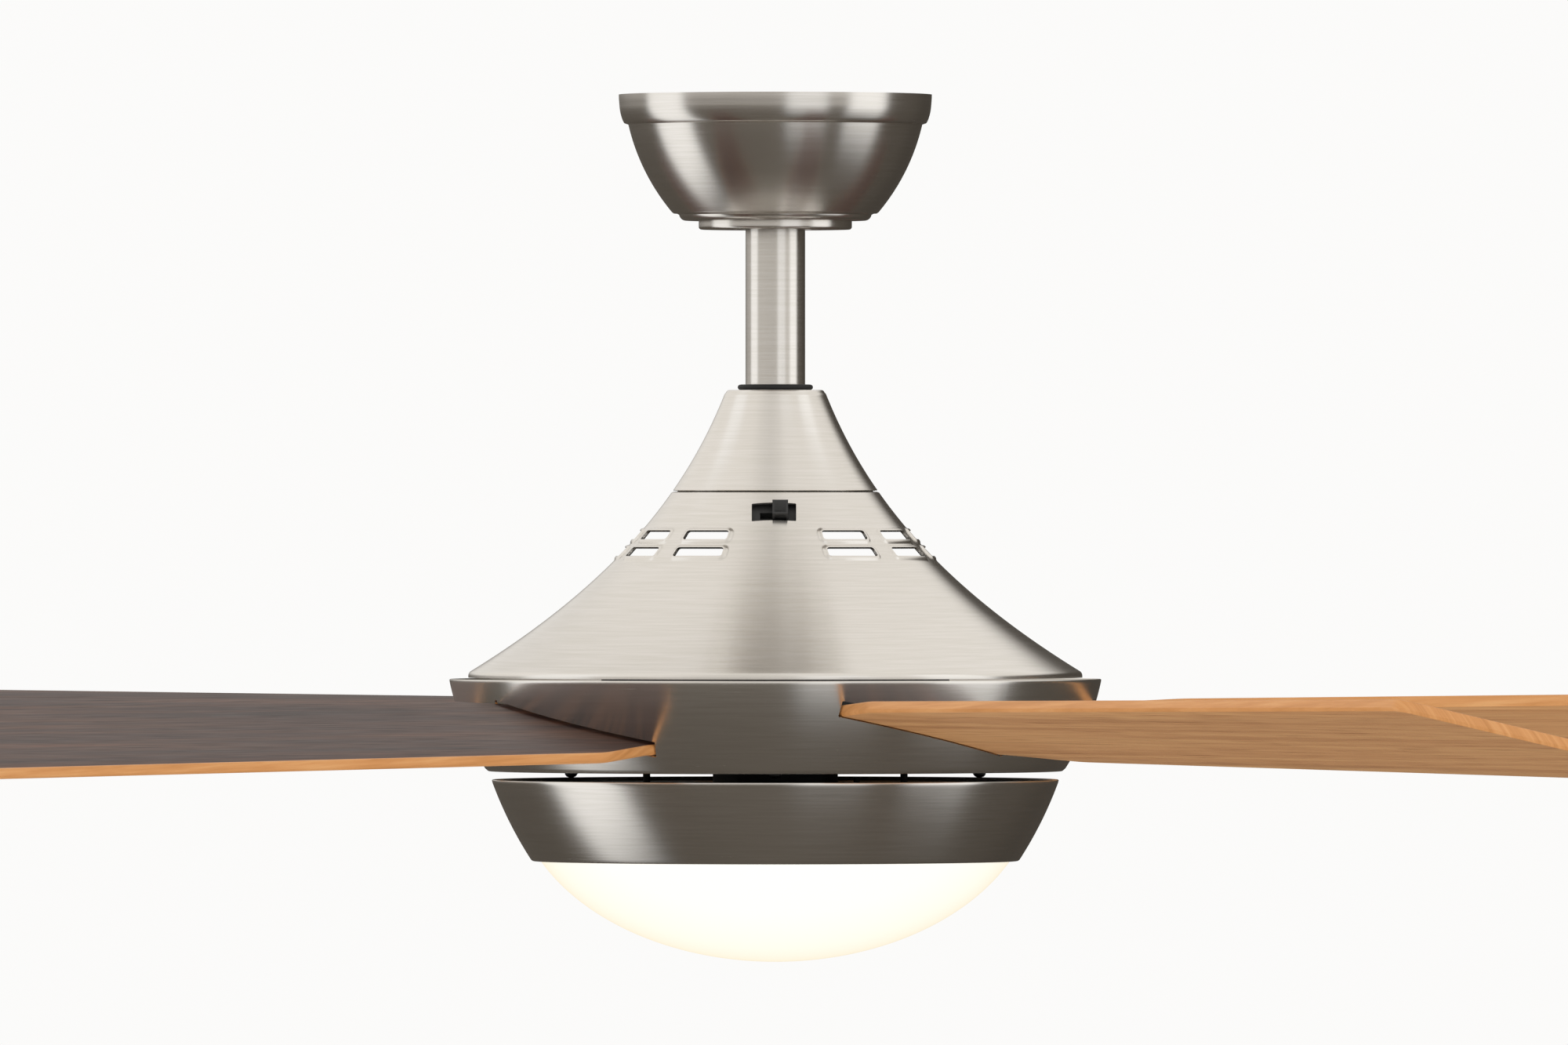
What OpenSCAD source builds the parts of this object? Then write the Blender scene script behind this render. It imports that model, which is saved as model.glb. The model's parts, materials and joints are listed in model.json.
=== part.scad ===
// Ceiling fan with a light: canopy, downrod, flared motor housing, five pitched
// blades through a turning band, and a glass bowl below.
// Origin: centre of the ceiling bracket's top face. +Z is up, so the fan hangs below zero.

/* [Hanging] */
// Diameter of the canopy's rim against the ceiling
canopy_d = 140.2; // [116:0.2:180]
// Height of the canopy with its trim ring
canopy_h = 60.5; // [50:0.5:90]
// Diameter of the canopy where the bowl ends
canopy_foot_d = 92.4; // [84:0.2:100]
// Diameter of the trim ring under the canopy
trim_d = 68.6; // [58:0.2:76]
// Height of the trim ring that shows
trim_h = 4; // [3.4:0.1:6]
// Diameter of the ball that the fan hangs from
ball_d = 48; // [44:0.5:52]
// Largest swing of the ball about either level axis, in degrees
swing = 3; // [1:0.5:4]
// Outside diameter of the downrod
rod_d = 26.7; // [20:0.1:32]
// Wall of the downrod
rod_wall = 2.9; // [2:0.1:4]
// Length of downrod between the trim ring and the collar
rod_show = 69.3; // [20:0.1:900]
// Spacing of the two slots that take the outlet box screws
slot_spacing = 88.9; // [70:0.1:89]
// Length of each slot
slot_l = 16; // [8:0.5:18]
// Width of each slot
slot_w = 5.2; // [4.4:0.1:6]

/* [Housing] */
// Height of the coupling cover
cover_h = 45; // [37:0.5:60]
// Radius of the coupling cover at its top
cover_top_r = 22; // [18:0.1:27]
// Height of the flared motor housing
cone_h = 83.2; // [69:0.1:110]
// Thickness of the spun sheet
sheet = 1.1; // [0.8:0.1:1.4]
// Height of one vent slot
vent_h = 4.75; // [3.9:0.05:5.8]
// Angle that one vent slot spans
vent_span = 22.4; // [18:0.2:27]
// Width of the reverse switch's window
window_w = 19.8; // [18:0.1:24]
// Height of the window, along the housing's slope
window_h = 10; // [9.4:0.1:12]
// Travel of the reverse switch's knob
knob_travel = 5.6; // [4:0.1:7]

/* [Rotor] */
// Diameter of the band at its top edge
band_d = 291.8; // [243:0.2:352]
// Height of the band
band_h = 41.3; // [34.4:0.1:52]
// How much the band's radius narrows down to its floor
band_taper = 16; // [10:0.1:20]
// Diameter of the circle that the blade tips sweep
sweep_d = 1320; // [1060:10:1600]
// Pitch of the blades, in degrees
pitch = 11.6; // [9:0.1:14]
// Thickness of a blade
blade_t = 5; // [4:0.1:6]
// Width of a blade's root, inside the band
root_w = 87; // [72:0.5:104]
// Width of a blade at its shoulder
shoulder_w = 114; // [105:0.5:137]
// Width of a blade at its tip
tip_w = 155.6; // [125:0.2:187]
// Length of a blade inside the band's foot
blade_grip = 46; // [40:0.5:54]
// Height of the motor's shell
motor_h = 66; // [62:0.5:72]
// Outside diameter of the fixed shaft
shaft_d = 17; // [15:0.1:19]

/* [Light] */
// Gap between the turning band and the light pan
pan_gap = 3.7; // [3.2:0.1:6]
// Height of the light pan
pan_h = 36.5; // [32:0.5:46]
// How much the pan's radius narrows down to its mouth
pan_taper = 17; // [12:0.1:22]
// Depth of glass that shows below the pan
bowl_show = 45.1; // [37:0.1:55]
// Full depth of the half ellipse that the glass follows
bowl_depth = 80.4; // [66:0.1:97]
// Thickness of the glass
glass_t = 3; // [2.4:0.1:3.6]

/* [Hidden] */
$fn = 96;
fit = 0.05;
eps = 0.01;

// Heights, from the ceiling down
z_trim = -canopy_h;
z_foot = z_trim + trim_h;
z_collar = z_trim - rod_show;
collar_h = 2.5;
z_cover = z_collar - collar_h;
z_cone = z_cover - cover_h - 0.5;
z_lip = z_cone - cone_h;
z_band = z_lip - 0.6;
z_floor = z_band - band_h;
z_pan = z_floor - pan_gap;
z_mouth = z_pan - pan_h;
z_bowl = z_mouth - bowl_show;

// Hanging ball, its seat and its pin
ball_r = ball_d / 2;
rod_r = rod_d / 2;
ball_low = sqrt(ball_r * ball_r - pow(rod_r + 2.5, 2));
z_ball = z_foot + sheet + 1.5 + ball_low;
ball_high = ball_r * 0.66;
seat_t = 4;
seat_low = ball_low - 3;
seat_clear = 0.1;
pin_r = 3;
rod_up = ball_high - 3;
tab_w = 4;
tab_clear = 1;
groove_y = ball_r - 5;
seat_half = ball_r + 2.5;
foot_t = 2;
wire_hole_r = 11;
swing_both = swing * sqrt(2);
rod_hole_r = rod_r + (z_ball - z_trim) * tan(swing_both) + 1.2;

// Ceiling bracket and canopy
plate_t = 2.5;
leg_x = ball_r + 3;
leg_w = 32;
bracket_w = 36;
bracket_reach = slot_spacing / 2 + slot_l / 2 + 3;
ground_x = bracket_reach - 14;
ground_y = bracket_w / 2 - 6;
canopy_r = canopy_d / 2;
foot_r = canopy_foot_d / 2;
trim_r = trim_d / 2;
canopy_screw_r = 1.7;
canopy_screw_x = min((rod_hole_r + trim_r) / 2, leg_x - canopy_screw_r - 0.4);
bowl_bow = 93.9;
rim_h = 13;
receiver_t = 13;
receiver_w = 2 * (leg_x - 1.5);

// Coupling under the downrod
yoke_r = rod_r + 5.15;
z_yoke = z_cover - sheet - 8;
z_rod_end = z_yoke - 22;
z_clevis = z_yoke - 9;
clevis_r = 4;
z_flange = z_cone - sheet;
flange_t = 4;
flange_r = yoke_r + 17;
housing_screw_circle = flange_r - 6;
housing_screw_r = 2;
shaft_r = shaft_d / 2;
shaft_bore_r = shaft_r - 3.5;
z_shaft_top = z_rod_end - 3;

// Flare of the cover and the housing, switch and vents
band_r = band_d / 2;
lip_r = 2.4;
flare_depth = cover_h + 0.5 + cone_h - 2.9;
flare_end_r = band_r - 9.6;
flare_radii = [cover_top_r,
               cover_top_r + 0.143 * (flare_end_r - cover_top_r),
               cover_top_r + 0.404 * (flare_end_r - cover_top_r),
               flare_end_r];
vent_rows = [cover_h + 17.9, cover_h + 25.4];

// Motor, fixed parts inside turning shells
band_foot_r = band_r - band_taper;
band_bow = 117.6;
blade_in = band_foot_r - blade_grip;
motor_r = blade_in - 6;
z_motor_low = z_floor + 10.8;
z_motor_top = z_motor_low + motor_h;
shell_t = 4;
race_w = 10;
race_t = 3;
ball_gap = 3;
bearing_r = shaft_r + 2 * race_t + ball_gap;
bearing_mid = shaft_r + race_t + ball_gap / 2;
bearing_ball_r = 2.6;
bearing_balls_n = 8;
boss_r = bearing_r + 3.5;
z_bearing_up = z_motor_top - 2 - race_w;
z_bearing_low = z_motor_low + 2;
bearing_z = [z_bearing_up, z_bearing_low];
circlip_t = 1.2;
groove_deep = 0.5;
hub_t = 3;
z_shell_low = z_motor_low + hub_t;
z_shell_top = z_motor_top - 5;
z_split = (z_shell_low + z_shell_top) / 2;
cavity_low = z_shell_low + shell_t + 1;
cavity_top = z_shell_top - shell_t - 1;
coil_h = 8;
core_low = cavity_low + coil_h + 3;
core_top = cavity_top - coil_h - 3;
cage_r = motor_r - 7;
air_gap = 0.4;
core_r = motor_r - 26;
slots_n = 16;
slot_in = shaft_r + 13;
shell_screw_circle = motor_r - 3.5;
shell_screw_r = 1.5;
shell_screw_head_r = 2.4;
lip_bore_r = shaft_r + race_t + 0.6;

// Blades and the hub that carries them
blades_n = 5;
blade_turn = 12;
z_blade = z_floor + 19.3;
blade_offset = 2;
flare_start = band_r - 17;
flare_end = band_r + 29;
flare_round = 40;
slot_side = 0.9;
slot_below = 0.6;
slot_above = 1.5;
tip_round = 7;
tip_u = sqrt(pow(sweep_d / 2, 2) - pow(tip_w / 2 + blade_offset, 2));
hub_wall = 3;
hub_in = motor_r + 1;
hub_r = band_foot_r - sheet - 8.7;
z_hub = z_floor + sheet;
pad_in = blade_in + 4;
pad_out = hub_r - 2;
pad_half = root_w / 2 - 5.5;
blade_screw_r = 2.2;
blade_screws_at = [[blade_in + 10, 0], [pad_out - 8, -root_w / 4], [pad_out - 8, root_w / 4]];
band_screw_r = 1.5;
band_screws_n = 6;
band_screw_circle = (hub_in + hub_wall + hub_r) / 2 + 4;
hub_screws_n = 5;
hub_screw_circle = motor_r - 10;

// Light kit
plate_r = motor_r - 4;
z_plate = z_floor + 4.3;
adaptor_t = 2;
pan_recess = 2;
pan_plate_t = 1.5;
z_pan_plate = z_pan - pan_recess;
neck_r = 28;
pan_screw_r = 1.65;
pan_screws_n = 3;
earth_x = neck_r + 8.4;
earth_y = -12;
earth_r = 1.4;
pan_screw_circle = plate_r - 7.6;
pan_r = band_foot_r - 3;
mouth_r = pan_r - pan_taper;
pan_bow = 175;
bowl_r = mouth_r - 4.9;
bowl_up = bowl_depth - bowl_show;
bowl_a = bowl_r / sqrt(1 - pow(bowl_up / bowl_depth, 2));
collar_r = bowl_r - 0.5;
z_glass_top = z_mouth + 7;
pan_hole_r = bowl_r + 0.8;
lug_r = bowl_r + 2.6;
lugs_n = 3;
lug_span = 12;
release = 25;
lamp_r = (pan_h + bowl_show - 33.6) / 2;
z_lamp = z_pan_plate - pan_plate_t - 4 - lamp_r;
lamp_tip = bowl_r - 12.9;
cap_r = 12.5;
socket_r = 15.5;
socket_in = 4;
socket_l = 32;

// Colours
nickel = [0.72, 0.70, 0.67];
dark_nickel = [0.42, 0.40, 0.38];
steel = [0.62, 0.63, 0.65];
zinc = [0.55, 0.56, 0.58];
black = [0.08, 0.08, 0.08];

// A circular arc about c, from angle a0 to angle a1
function arc(c, r, a0, a1, n) =
    [for (i = [0:n]) c + r * [cos(a0 + (a1 - a0) * i / n), sin(a0 + (a1 - a0) * i / n)]];

// An arc of radius r from p down to q, bulging away from the axis
function bow(p, q, r, n) =
    let (half = norm(q - p) / 2,
         d = (q - p) / (2 * half),
         c = (p + q) / 2 + sqrt(r * r - half * half) * [d[1], -d[0]],
         a = p - c,
         b = q - c)
    arc(c, r, atan2(a[1], a[0]), atan2(b[1], b[0]), n);

// The arc of radius r that rounds the corner at b between a and c
function fillet(a, b, c, r, n) =
    let (u = (a - b) / norm(a - b),
         v = (c - b) / norm(c - b),
         half = acos(u * v) / 2,
         m = (u + v) / norm(u + v),
         o = b + m * r / sin(half),
         s = b + u * r / tan(half) - o,
         e = b + v * r / tan(half) - o,
         a0 = atan2(s[1], s[0]),
         turn = atan2(e[1], e[0]) - a0,
         step = turn > 180 ? turn - 360 : turn < -180 ? turn + 360 : turn)
    arc(o, r, a0, a0 + step, n);

function reversed(p) = [for (i = [len(p) - 1:-1:0]) p[i]];

// The line through the points p moved towards the axis by t
function inset(p, t) =
    [for (i = [0:len(p) - 1])
        let (d = p[min(i + 1, len(p) - 1)] - p[max(i - 1, 0)])
        p[i] + t * [d[1], -d[0]] / norm(d)];

// A spun shell of thickness t whose outside follows the points p
module shell(p, t) {
    rotate_extrude() polygon(concat(p, reversed(inset(p, t))));
}

module ring(r_in, r_out, z, h) {
    translate([0, 0, z])
        difference() {
            cylinder(r = r_out, h = h);
            translate([0, 0, -1]) cylinder(r = r_in, h = h + 2);
        }
}

// Places its children n times round the axis, on a circle of radius r
module around(n, r, first = 0) {
    for (i = [0:n - 1]) rotate([0, 0, first + i * 360 / n]) translate([r, 0, 0]) children();
}

// A pan-head screw pointing up: its head hangs below z = 0
module screw(r, l, head_r, head_h) {
    cylinder(r = r, h = l);
    rotate([180, 0, 0]) rotate_extrude()
        polygon([[0, 0], [head_r, 0], [head_r, head_h * 0.45],
                 [head_r * 0.72, head_h * 0.85], [head_r * 0.35, head_h], [0, head_h]]);
}

// Radius of the cover and the housing, at a depth below the cover's top: a cubic
// curve, steep at the top and flaring out towards the lip
function flare(depth) =
    let (t = depth / flare_depth, s = 1 - t)
    flare_radii[0] * s * s * s + 3 * flare_radii[1] * s * s * t
    + 3 * flare_radii[2] * s * t * t + flare_radii[3] * t * t * t;
function flare_slope(depth) = (flare(depth + 0.1) - flare(depth - 0.1)) / 0.2;
function flare_points(from, to, n) =
    [for (i = [0:n]) let (d = from + (to - from) * i / n) [flare(d), z_cover - d]];

// Reverse switch: a frame on the housing's slope at the front, +Z' out of the sheet
switch_x = -0.6;
switch_depth = cover_h + 9.4;
switch_r = flare(switch_depth);
switch_tilt = atan(flare_slope(switch_depth));
knob_w = 7;
knob_h = window_h - 2.2;
knob_out = 3.6;
stem_w = 6;
switch_face = -sheet - 2.4;
module on_slope() {
    translate([switch_x, -switch_r, z_cover - switch_depth])
        rotate([90 - switch_tilt, 0, 0])
            children();
}

// Outlines of the visible shells, from the top down
function canopy_points() = concat(
    [[canopy_r, 0], [canopy_r - 0.05, -2]],
    bow([canopy_r - 0.3, -5], [canopy_r - 1.8, -rim_h + 1.3], 22, 4),
    [[canopy_r - 2.7, -rim_h + 0.3], [canopy_r - 4, -rim_h - 0.1]],
    bow([canopy_r - 4.3, -rim_h - 0.5], [foot_r, z_foot + 3.7], bowl_bow, 12),
    [[foot_r - 2.2, z_foot + 3.3]],
    arc([foot_r - 6.2, z_foot + 3.1], 3.1, -20, -90, 4),
    [[rod_hole_r, z_foot]]);
function band_points() = concat(
    bow([band_r, z_band], [band_foot_r, z_floor + 1.3], band_bow, 10),
    arc([band_foot_r - 2, z_floor + 1.5], 1.5, -30, -90, 3),
    [[hub_in, z_floor]]);
function pan_points() = concat(
    bow([pan_r, z_pan], [mouth_r, z_mouth + 1.4], pan_bow, 10),
    arc([mouth_r - 1.7, z_mouth + 1.4], 1.4, -30, -90, 3),
    [[pan_hole_r, z_mouth]]);
function glass_z(r, a, b) = z_bowl + bowl_depth - b * sqrt(1 - pow(r / a, 2));

module slot_hole(length, width, depth) {
    for (end = [-1, 1]) translate([end * (length - width) / 2, 0, 0])
        cylinder(r = width / 2, h = depth);
    translate([(width - length) / 2, -width / 2, 0]) cube([length - width, width, depth]);
}

module hanger_bracket() {
    color(zinc)
    union() {
        difference() {
            intersection() {
                translate([-bracket_reach, -bracket_w / 2, -plate_t])
                    cube([2 * bracket_reach, bracket_w, plate_t]);
                translate([0, 0, -plate_t - 1]) cylinder(r = canopy_r - sheet - 0.6, h = plate_t + 2);
            }
            for (side = [-1, 1])
                translate([side * slot_spacing / 2, 0, -plate_t - 1])
                    slot_hole(slot_l, slot_w, plate_t + 2);
            translate([0, 0, -plate_t - 1]) cylinder(r = wire_hole_r, h = plate_t + 2);
            translate([ground_x, ground_y, -plate_t - 1]) cylinder(r = 2, h = plate_t + 2);
        }
        for (side = [0, 180]) rotate([0, 0, side]) {
            translate([leg_x, -leg_w / 2, z_foot + sheet])
                cube([plate_t, leg_w, -z_foot - sheet]);
            difference() {
                translate([rod_hole_r + 3, -leg_w / 2, z_foot + sheet])
                    cube([leg_x - rod_hole_r - 2, leg_w, foot_t]);
                translate([canopy_screw_x, 0, z_foot]) cylinder(r = canopy_screw_r, h = 6);
            }
        }
        difference() {
            translate([-leg_x - 1, -seat_half, z_ball - seat_low])
                cube([2 * leg_x + 2, 2 * seat_half, seat_t]);
            translate([0, 0, z_ball]) sphere(r = ball_r + seat_clear);
            translate([-rod_r - 1.4, -seat_half - 1, z_ball - seat_low - 1])
                cube([2 * rod_r + 2.8, seat_half, seat_t + 2]);
        }
        translate([-tab_w / 2, groove_y + tab_clear, z_ball - seat_low])
            cube([tab_w, ball_r - groove_y, seat_t + 2]);
    }
}

module canopy() {
    color(dark_nickel)
    difference() {
        shell(canopy_points(), sheet);
        for (side = [-1, 1])
            translate([side * canopy_screw_x, 0, z_foot - 1])
                cylinder(r = canopy_screw_r, h = sheet + 2);
    }
}

module trim_ring() {
    color(nickel)
    shell(concat([[trim_r, z_foot]],
                 arc([trim_r - 1.3, z_trim + 1.3], 1.3, 0, -90, 4),
                 [[rod_hole_r, z_trim]]), sheet);
}

module canopy_screws() {
    color(zinc)
    for (side = [-1, 1])
        translate([side * canopy_screw_x, 0, z_foot])
            screw(canopy_screw_r, sheet + 2, 3.4, 2.1);
}

module receiver() {
    rise = -plate_t - 0.5 - receiver_t;
    reach = sqrt(pow(canopy_r - 8, 2) - pow(receiver_w / 2, 2)) - 10;
    color([0.85, 0.85, 0.83])
    difference() {
        translate([-receiver_w / 2, -reach, rise])
            cube([receiver_w, 2 * reach, receiver_t]);
        for (side = [-1, 1])
            translate([0, side * reach, rise + receiver_t / 2])
                rotate([90, 0, 0]) cylinder(r = 3, h = 16, center = true);
    }
}

module ground_screw() {
    color([0.2, 0.5, 0.25])
    translate([ground_x, ground_y, -plate_t]) screw(2, plate_t, 3.8, 2.2);
}

module hanger_pin() {
    color(steel)
    translate([0, 0, z_ball])
        rotate([0, 90, 0]) cylinder(r = pin_r, h = 2 * ball_r - 8, center = true);
}

module hanger_ball() {
    color(zinc)
    difference() {
        translate([0, 0, z_ball]) intersection() {
            sphere(r = ball_r);
            translate([-ball_r, -ball_r, -ball_low])
                cube([2 * ball_r, 2 * ball_r, ball_low + ball_high]);
        }
        translate([0, 0, z_ball - ball_r]) cylinder(r = rod_r, h = ball_r + rod_up);
        translate([0, 0, z_ball]) cylinder(r = rod_r - rod_wall, h = ball_r);
        translate([-tab_w / 2 - tab_clear, groove_y, z_ball - ball_r])
            cube([tab_w + 2 * tab_clear, ball_r, 2 * ball_r]);
        translate([0, 0, z_ball])
            rotate([0, 90, 0]) cylinder(r = pin_r + fit, h = 2 * ball_r + 2, center = true);
        translate([0, 0, z_ball - 5]) rotate([90, 0, 0]) cylinder(r = 2.5, h = ball_r);
    }
}

module ball_set_screw() {
    color(steel)
    translate([0, -rod_r, z_ball - 5]) rotate([90, 0, 0])
        difference() {
            cylinder(r = 2.5, h = 7);
            translate([0, 0, 4]) cylinder(r = 1.25, h = 4, $fn = 6);
        }
}

module downrod() {
    color(nickel)
    difference() {
        translate([0, 0, z_rod_end])
            cylinder(r = rod_r, h = z_ball + rod_up - z_rod_end);
        translate([0, 0, z_rod_end - 1])
            cylinder(r = rod_r - rod_wall, h = z_ball + rod_up - z_rod_end + 2);
        translate([0, 0, z_ball])
            rotate([0, 90, 0]) cylinder(r = pin_r + fit, h = 2 * rod_d, center = true);
        translate([0, 0, z_clevis])
            rotate([0, 90, 0]) cylinder(r = clevis_r, h = 2 * rod_d, center = true);
    }
}

module rod_collar() {
    color(black)
    rotate_extrude() polygon(concat(
        [[rod_r, z_collar], [rod_r + 2.2, z_collar]],
        arc([rod_r + 2.4, z_collar - 1.1], 1.1, 80, -80, 6),
        [[rod_r + 1.5, z_cover], [rod_r, z_cover]]));
}

module coupling_cover() {
    top = arc([cover_top_r - 1.4, z_cover - 1.5], 1.5, 90, 20, 4);
    color(nickel)
    difference() {
        shell(concat([[rod_r + 0.6, z_cover]], top, flare_points(2, cover_h, 9)), sheet);
        translate([0, 0, z_cone - sheet]) cylinder(r = band_r, h = sheet + 0.5);
    }
}

module coupling_yoke() {
    color(zinc)
    difference() {
        union() {
            translate([0, 0, z_flange - flange_t])
                cylinder(r = yoke_r, h = z_yoke - z_flange + flange_t);
            translate([0, 0, z_flange - flange_t]) cylinder(r = flange_r, h = flange_t);
        }
        translate([0, 0, z_rod_end]) cylinder(r = rod_r, h = z_yoke - z_rod_end + 1);
        translate([0, 0, z_shaft_top]) cylinder(r = rod_r - rod_wall, h = 4);
        translate([0, 0, z_flange - flange_t - 1])
            cylinder(r = shaft_r, h = z_shaft_top - z_flange + flange_t + 1);
        translate([0, 0, z_clevis])
            rotate([0, 90, 0]) cylinder(r = clevis_r, h = 3 * yoke_r, center = true);
        translate([0, 0, z_clevis - 8])
            rotate([90, 0, 0]) cylinder(r = 2.5, h = 3 * yoke_r, center = true);
        around(3, housing_screw_circle, 30)
            translate([0, 0, z_flange - flange_t - 1])
                cylinder(r = housing_screw_r, h = flange_t + 2);
    }
}

module clevis_pin() {
    color(steel)
    translate([-yoke_r, 0, z_clevis]) rotate([0, 90, 0])
        difference() {
            union() {
                cylinder(r = clevis_r, h = 2 * yoke_r + 4.5);
                translate([0, 0, -2]) cylinder(r = clevis_r + 1.5, h = 2);
            }
            translate([0, 0, 2 * yoke_r + 2.2])
                rotate([0, 90, 0]) cylinder(r = 0.8, h = 12, center = true);
        }
}

module cotter_pin() {
    color(steel)
    translate([yoke_r + 2.2, 0, z_clevis]) {
        translate([0, 0, -7]) cylinder(r = 0.8, h = 11.5);
        translate([0, 0, 6.5]) rotate([0, 90, 0])
            rotate_extrude() translate([2, 0]) circle(r = 0.8, $fn = 24);
    }
}

module yoke_set_screws() {
    color(steel)
    for (side = [0, 180]) rotate([0, 0, side])
        translate([0, -rod_r, z_clevis - 8]) rotate([90, 0, 0])
            difference() {
                cylinder(r = 2.5, h = 7);
                translate([0, 0, 4]) cylinder(r = 1.25, h = 4, $fn = 6);
            }
}

// The two circlips that stop the bearings from sliding off
function circlip_z() = [z_bearing_up + race_w, z_bearing_low - circlip_t];

module motor_shaft() {
    color(steel)
    difference() {
        translate([0, 0, z_plate - 7.5]) cylinder(r = shaft_r, h = z_shaft_top - z_plate + 7.5);
        translate([0, 0, z_plate - 9]) cylinder(r = shaft_bore_r, h = z_shaft_top - z_plate + 12);
        for (z = circlip_z()) ring(shaft_r - groove_deep, shaft_r + 1, z, circlip_t);
    }
}

module shaft_circlips() {
    color(black)
    for (z = circlip_z())
        difference() {
            ring(shaft_r - groove_deep, shaft_r + 2, z, circlip_t);
            translate([shaft_r - 2, -2, z - 1]) cube([6, 4, circlip_t + 2]);
        }
}

// Vent slots in two rows, left out at the front above the reverse switch
module vents() {
    for (k = [1:11], depth = vent_rows)
        rotate([0, 0, -90 + 30 * k - vent_span / 2])
            rotate_extrude(angle = vent_span)
                translate([flare(depth) - 12, z_cover - depth - vent_h])
                    square([24, vent_h]);
}

module motor_housing() {
    steep = atan(flare_slope(flare_depth));
    end = [flare(flare_depth), z_cover - flare_depth];
    c = end - lip_r * [cos(steep), sin(steep)];
    top = cover_h + 0.5;
    outline = concat([[yoke_r + 1, z_cone], [flare(top) - 0.6, z_cone]],
                     flare_points(top + 0.5, flare_depth, 22),
                     arc(c, lip_r, steep, 0, 4),
                     [[c[0] + lip_r, z_lip]]);
    color(nickel)
    difference() {
        shell(outline, sheet);
        vents();
        on_slope() translate([-window_w / 2, -window_h / 2, -8]) cube([window_w, window_h, 16]);
        around(3, housing_screw_circle, 30)
            translate([0, 0, z_flange - 1]) cylinder(r = housing_screw_r, h = sheet + 2);
    }
}

module housing_screws() {
    color(steel)
    around(3, housing_screw_circle, 30)
        translate([0, 0, z_cone]) rotate([180, 0, 0]) screw(housing_screw_r, sheet + flange_t, 3.6, 2.2);
}

module switch_body() {
    color(black)
    on_slope()
        difference() {
            translate([-window_w / 2 - 2, -window_h / 2 - 1.5, -13])
                cube([window_w + 4, window_h + 3, 13 + switch_face]);
            translate([-(knob_travel + stem_w) / 2 - 0.4, -1.9, switch_face - 4])
                cube([knob_travel + stem_w + 0.8, 3.8, 5]);
        }
}

module switch_knob() {
    color([0.2, 0.2, 0.2])
    on_slope() translate([knob_travel / 2, 0, 0]) {
        translate([-knob_w / 2, -knob_h / 2, switch_face + 0.3])
            cube([knob_w, knob_h, knob_out - switch_face - 0.3]);
        translate([-stem_w / 2, -1.5, switch_face - 3.6]) cube([stem_w, 3, 4.5]);
    }
}

module slot_bars(grow) {
    for (i = [0:slots_n - 1]) rotate([0, 0, i * 360 / slots_n])
        translate([slot_in, -2 - grow, core_low - 1])
            cube([core_r - slot_in - 3, 4 + 2 * grow, core_top - core_low + 2]);
}

module stator_core() {
    color([0.35, 0.35, 0.37])
    difference() {
        ring(shaft_r, core_r, core_low, core_top - core_low);
        slot_bars(0.2);
        for (i = [0:slots_n - 1]) rotate([0, 0, i * 360 / slots_n])
            translate([core_r - 4, -0.8, core_low - 1]) cube([6, 1.6, core_top - core_low + 2]);
    }
}

module stator_windings() {
    color([0.72, 0.4, 0.2])
    union() {
        slot_bars(0);
        for (z = [core_low - coil_h, core_top])
            ring(slot_in, core_r - 3, z + 0.4, coil_h - 0.8);
    }
}

// One bearing race with its ball groove, from r_in to r_out
module race(r_in, r_out, z) {
    difference() {
        ring(r_in, r_out, z, race_w);
        translate([0, 0, z + race_w / 2])
            rotate_extrude() translate([bearing_mid, 0])
                circle(r = bearing_ball_r + fit, $fn = 32);
    }
}

module bearing_inner_races() {
    color(steel) for (z = bearing_z) race(shaft_r, shaft_r + race_t, z);
}

module bearing_outer_races() {
    color(steel) for (z = bearing_z) race(bearing_r - race_t, bearing_r, z);
}

module bearing_balls() {
    color([0.85, 0.85, 0.87])
    for (z = bearing_z)
        around(bearing_balls_n, bearing_mid)
            translate([0, 0, z + race_w / 2]) sphere(r = bearing_ball_r, $fn = 32);
}

// One half of the rotor's shell, drawn from its outer face at height z_out;
// up is 1 for the upper half and -1 for the lower half
module rotor_shell(z_out, z_boss, up) {
    rim = z_split - z_out;
    bore = [[lip_bore_r, z_boss], [boss_r, z_boss], [boss_r + 1, z_out],
            [motor_r - 18, z_out - up], [motor_r - 2, z_out + rim * 0.3],
            [motor_r, z_out + rim * 0.4], [motor_r, z_split], [cage_r, z_split],
            [cage_r, z_out - up * (shell_t + 2)], [motor_r - 20, z_out - up * shell_t],
            [boss_r, z_out - up * shell_t], [boss_r, z_boss - up * 13],
            [bearing_r, z_boss - up * 13], [bearing_r, z_boss - up * 2],
            [lip_bore_r, z_boss - up * 2]];
    difference() {
        rotate_extrude() polygon(bore);
        around(4, shell_screw_circle, 45) {
            translate([0, 0, z_split - 10]) cylinder(r = shell_screw_r, h = 20);
            translate([0, 0, z_split - 49]) cylinder(r = shell_screw_head_r + 0.2, h = 40);
        }
    }
}

module rotor_upper_shell() {
    color([0.66, 0.67, 0.68]) rotor_shell(z_shell_top, z_motor_top, 1);
}

module rotor_lower_shell() {
    color([0.66, 0.67, 0.68])
    difference() {
        union() {
            rotor_shell(z_shell_low, z_motor_low, -1);
            ring(motor_r - 16, motor_r - 4, z_shell_low, shell_t);
        }
        around(hub_screws_n, hub_screw_circle, blade_turn + 36)
            translate([0, 0, z_shell_low - 1]) cylinder(r = 2, h = shell_t + 1);
    }
}

module rotor_cage() {
    color([0.4, 0.4, 0.42])
    ring(core_r + air_gap, cage_r, core_low, core_top - core_low);
}

module shell_screws() {
    color(steel)
    around(4, shell_screw_circle, 45)
        translate([0, 0, z_split - 9]) screw(shell_screw_r, 18, shell_screw_head_r, 1.8);
}

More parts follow.
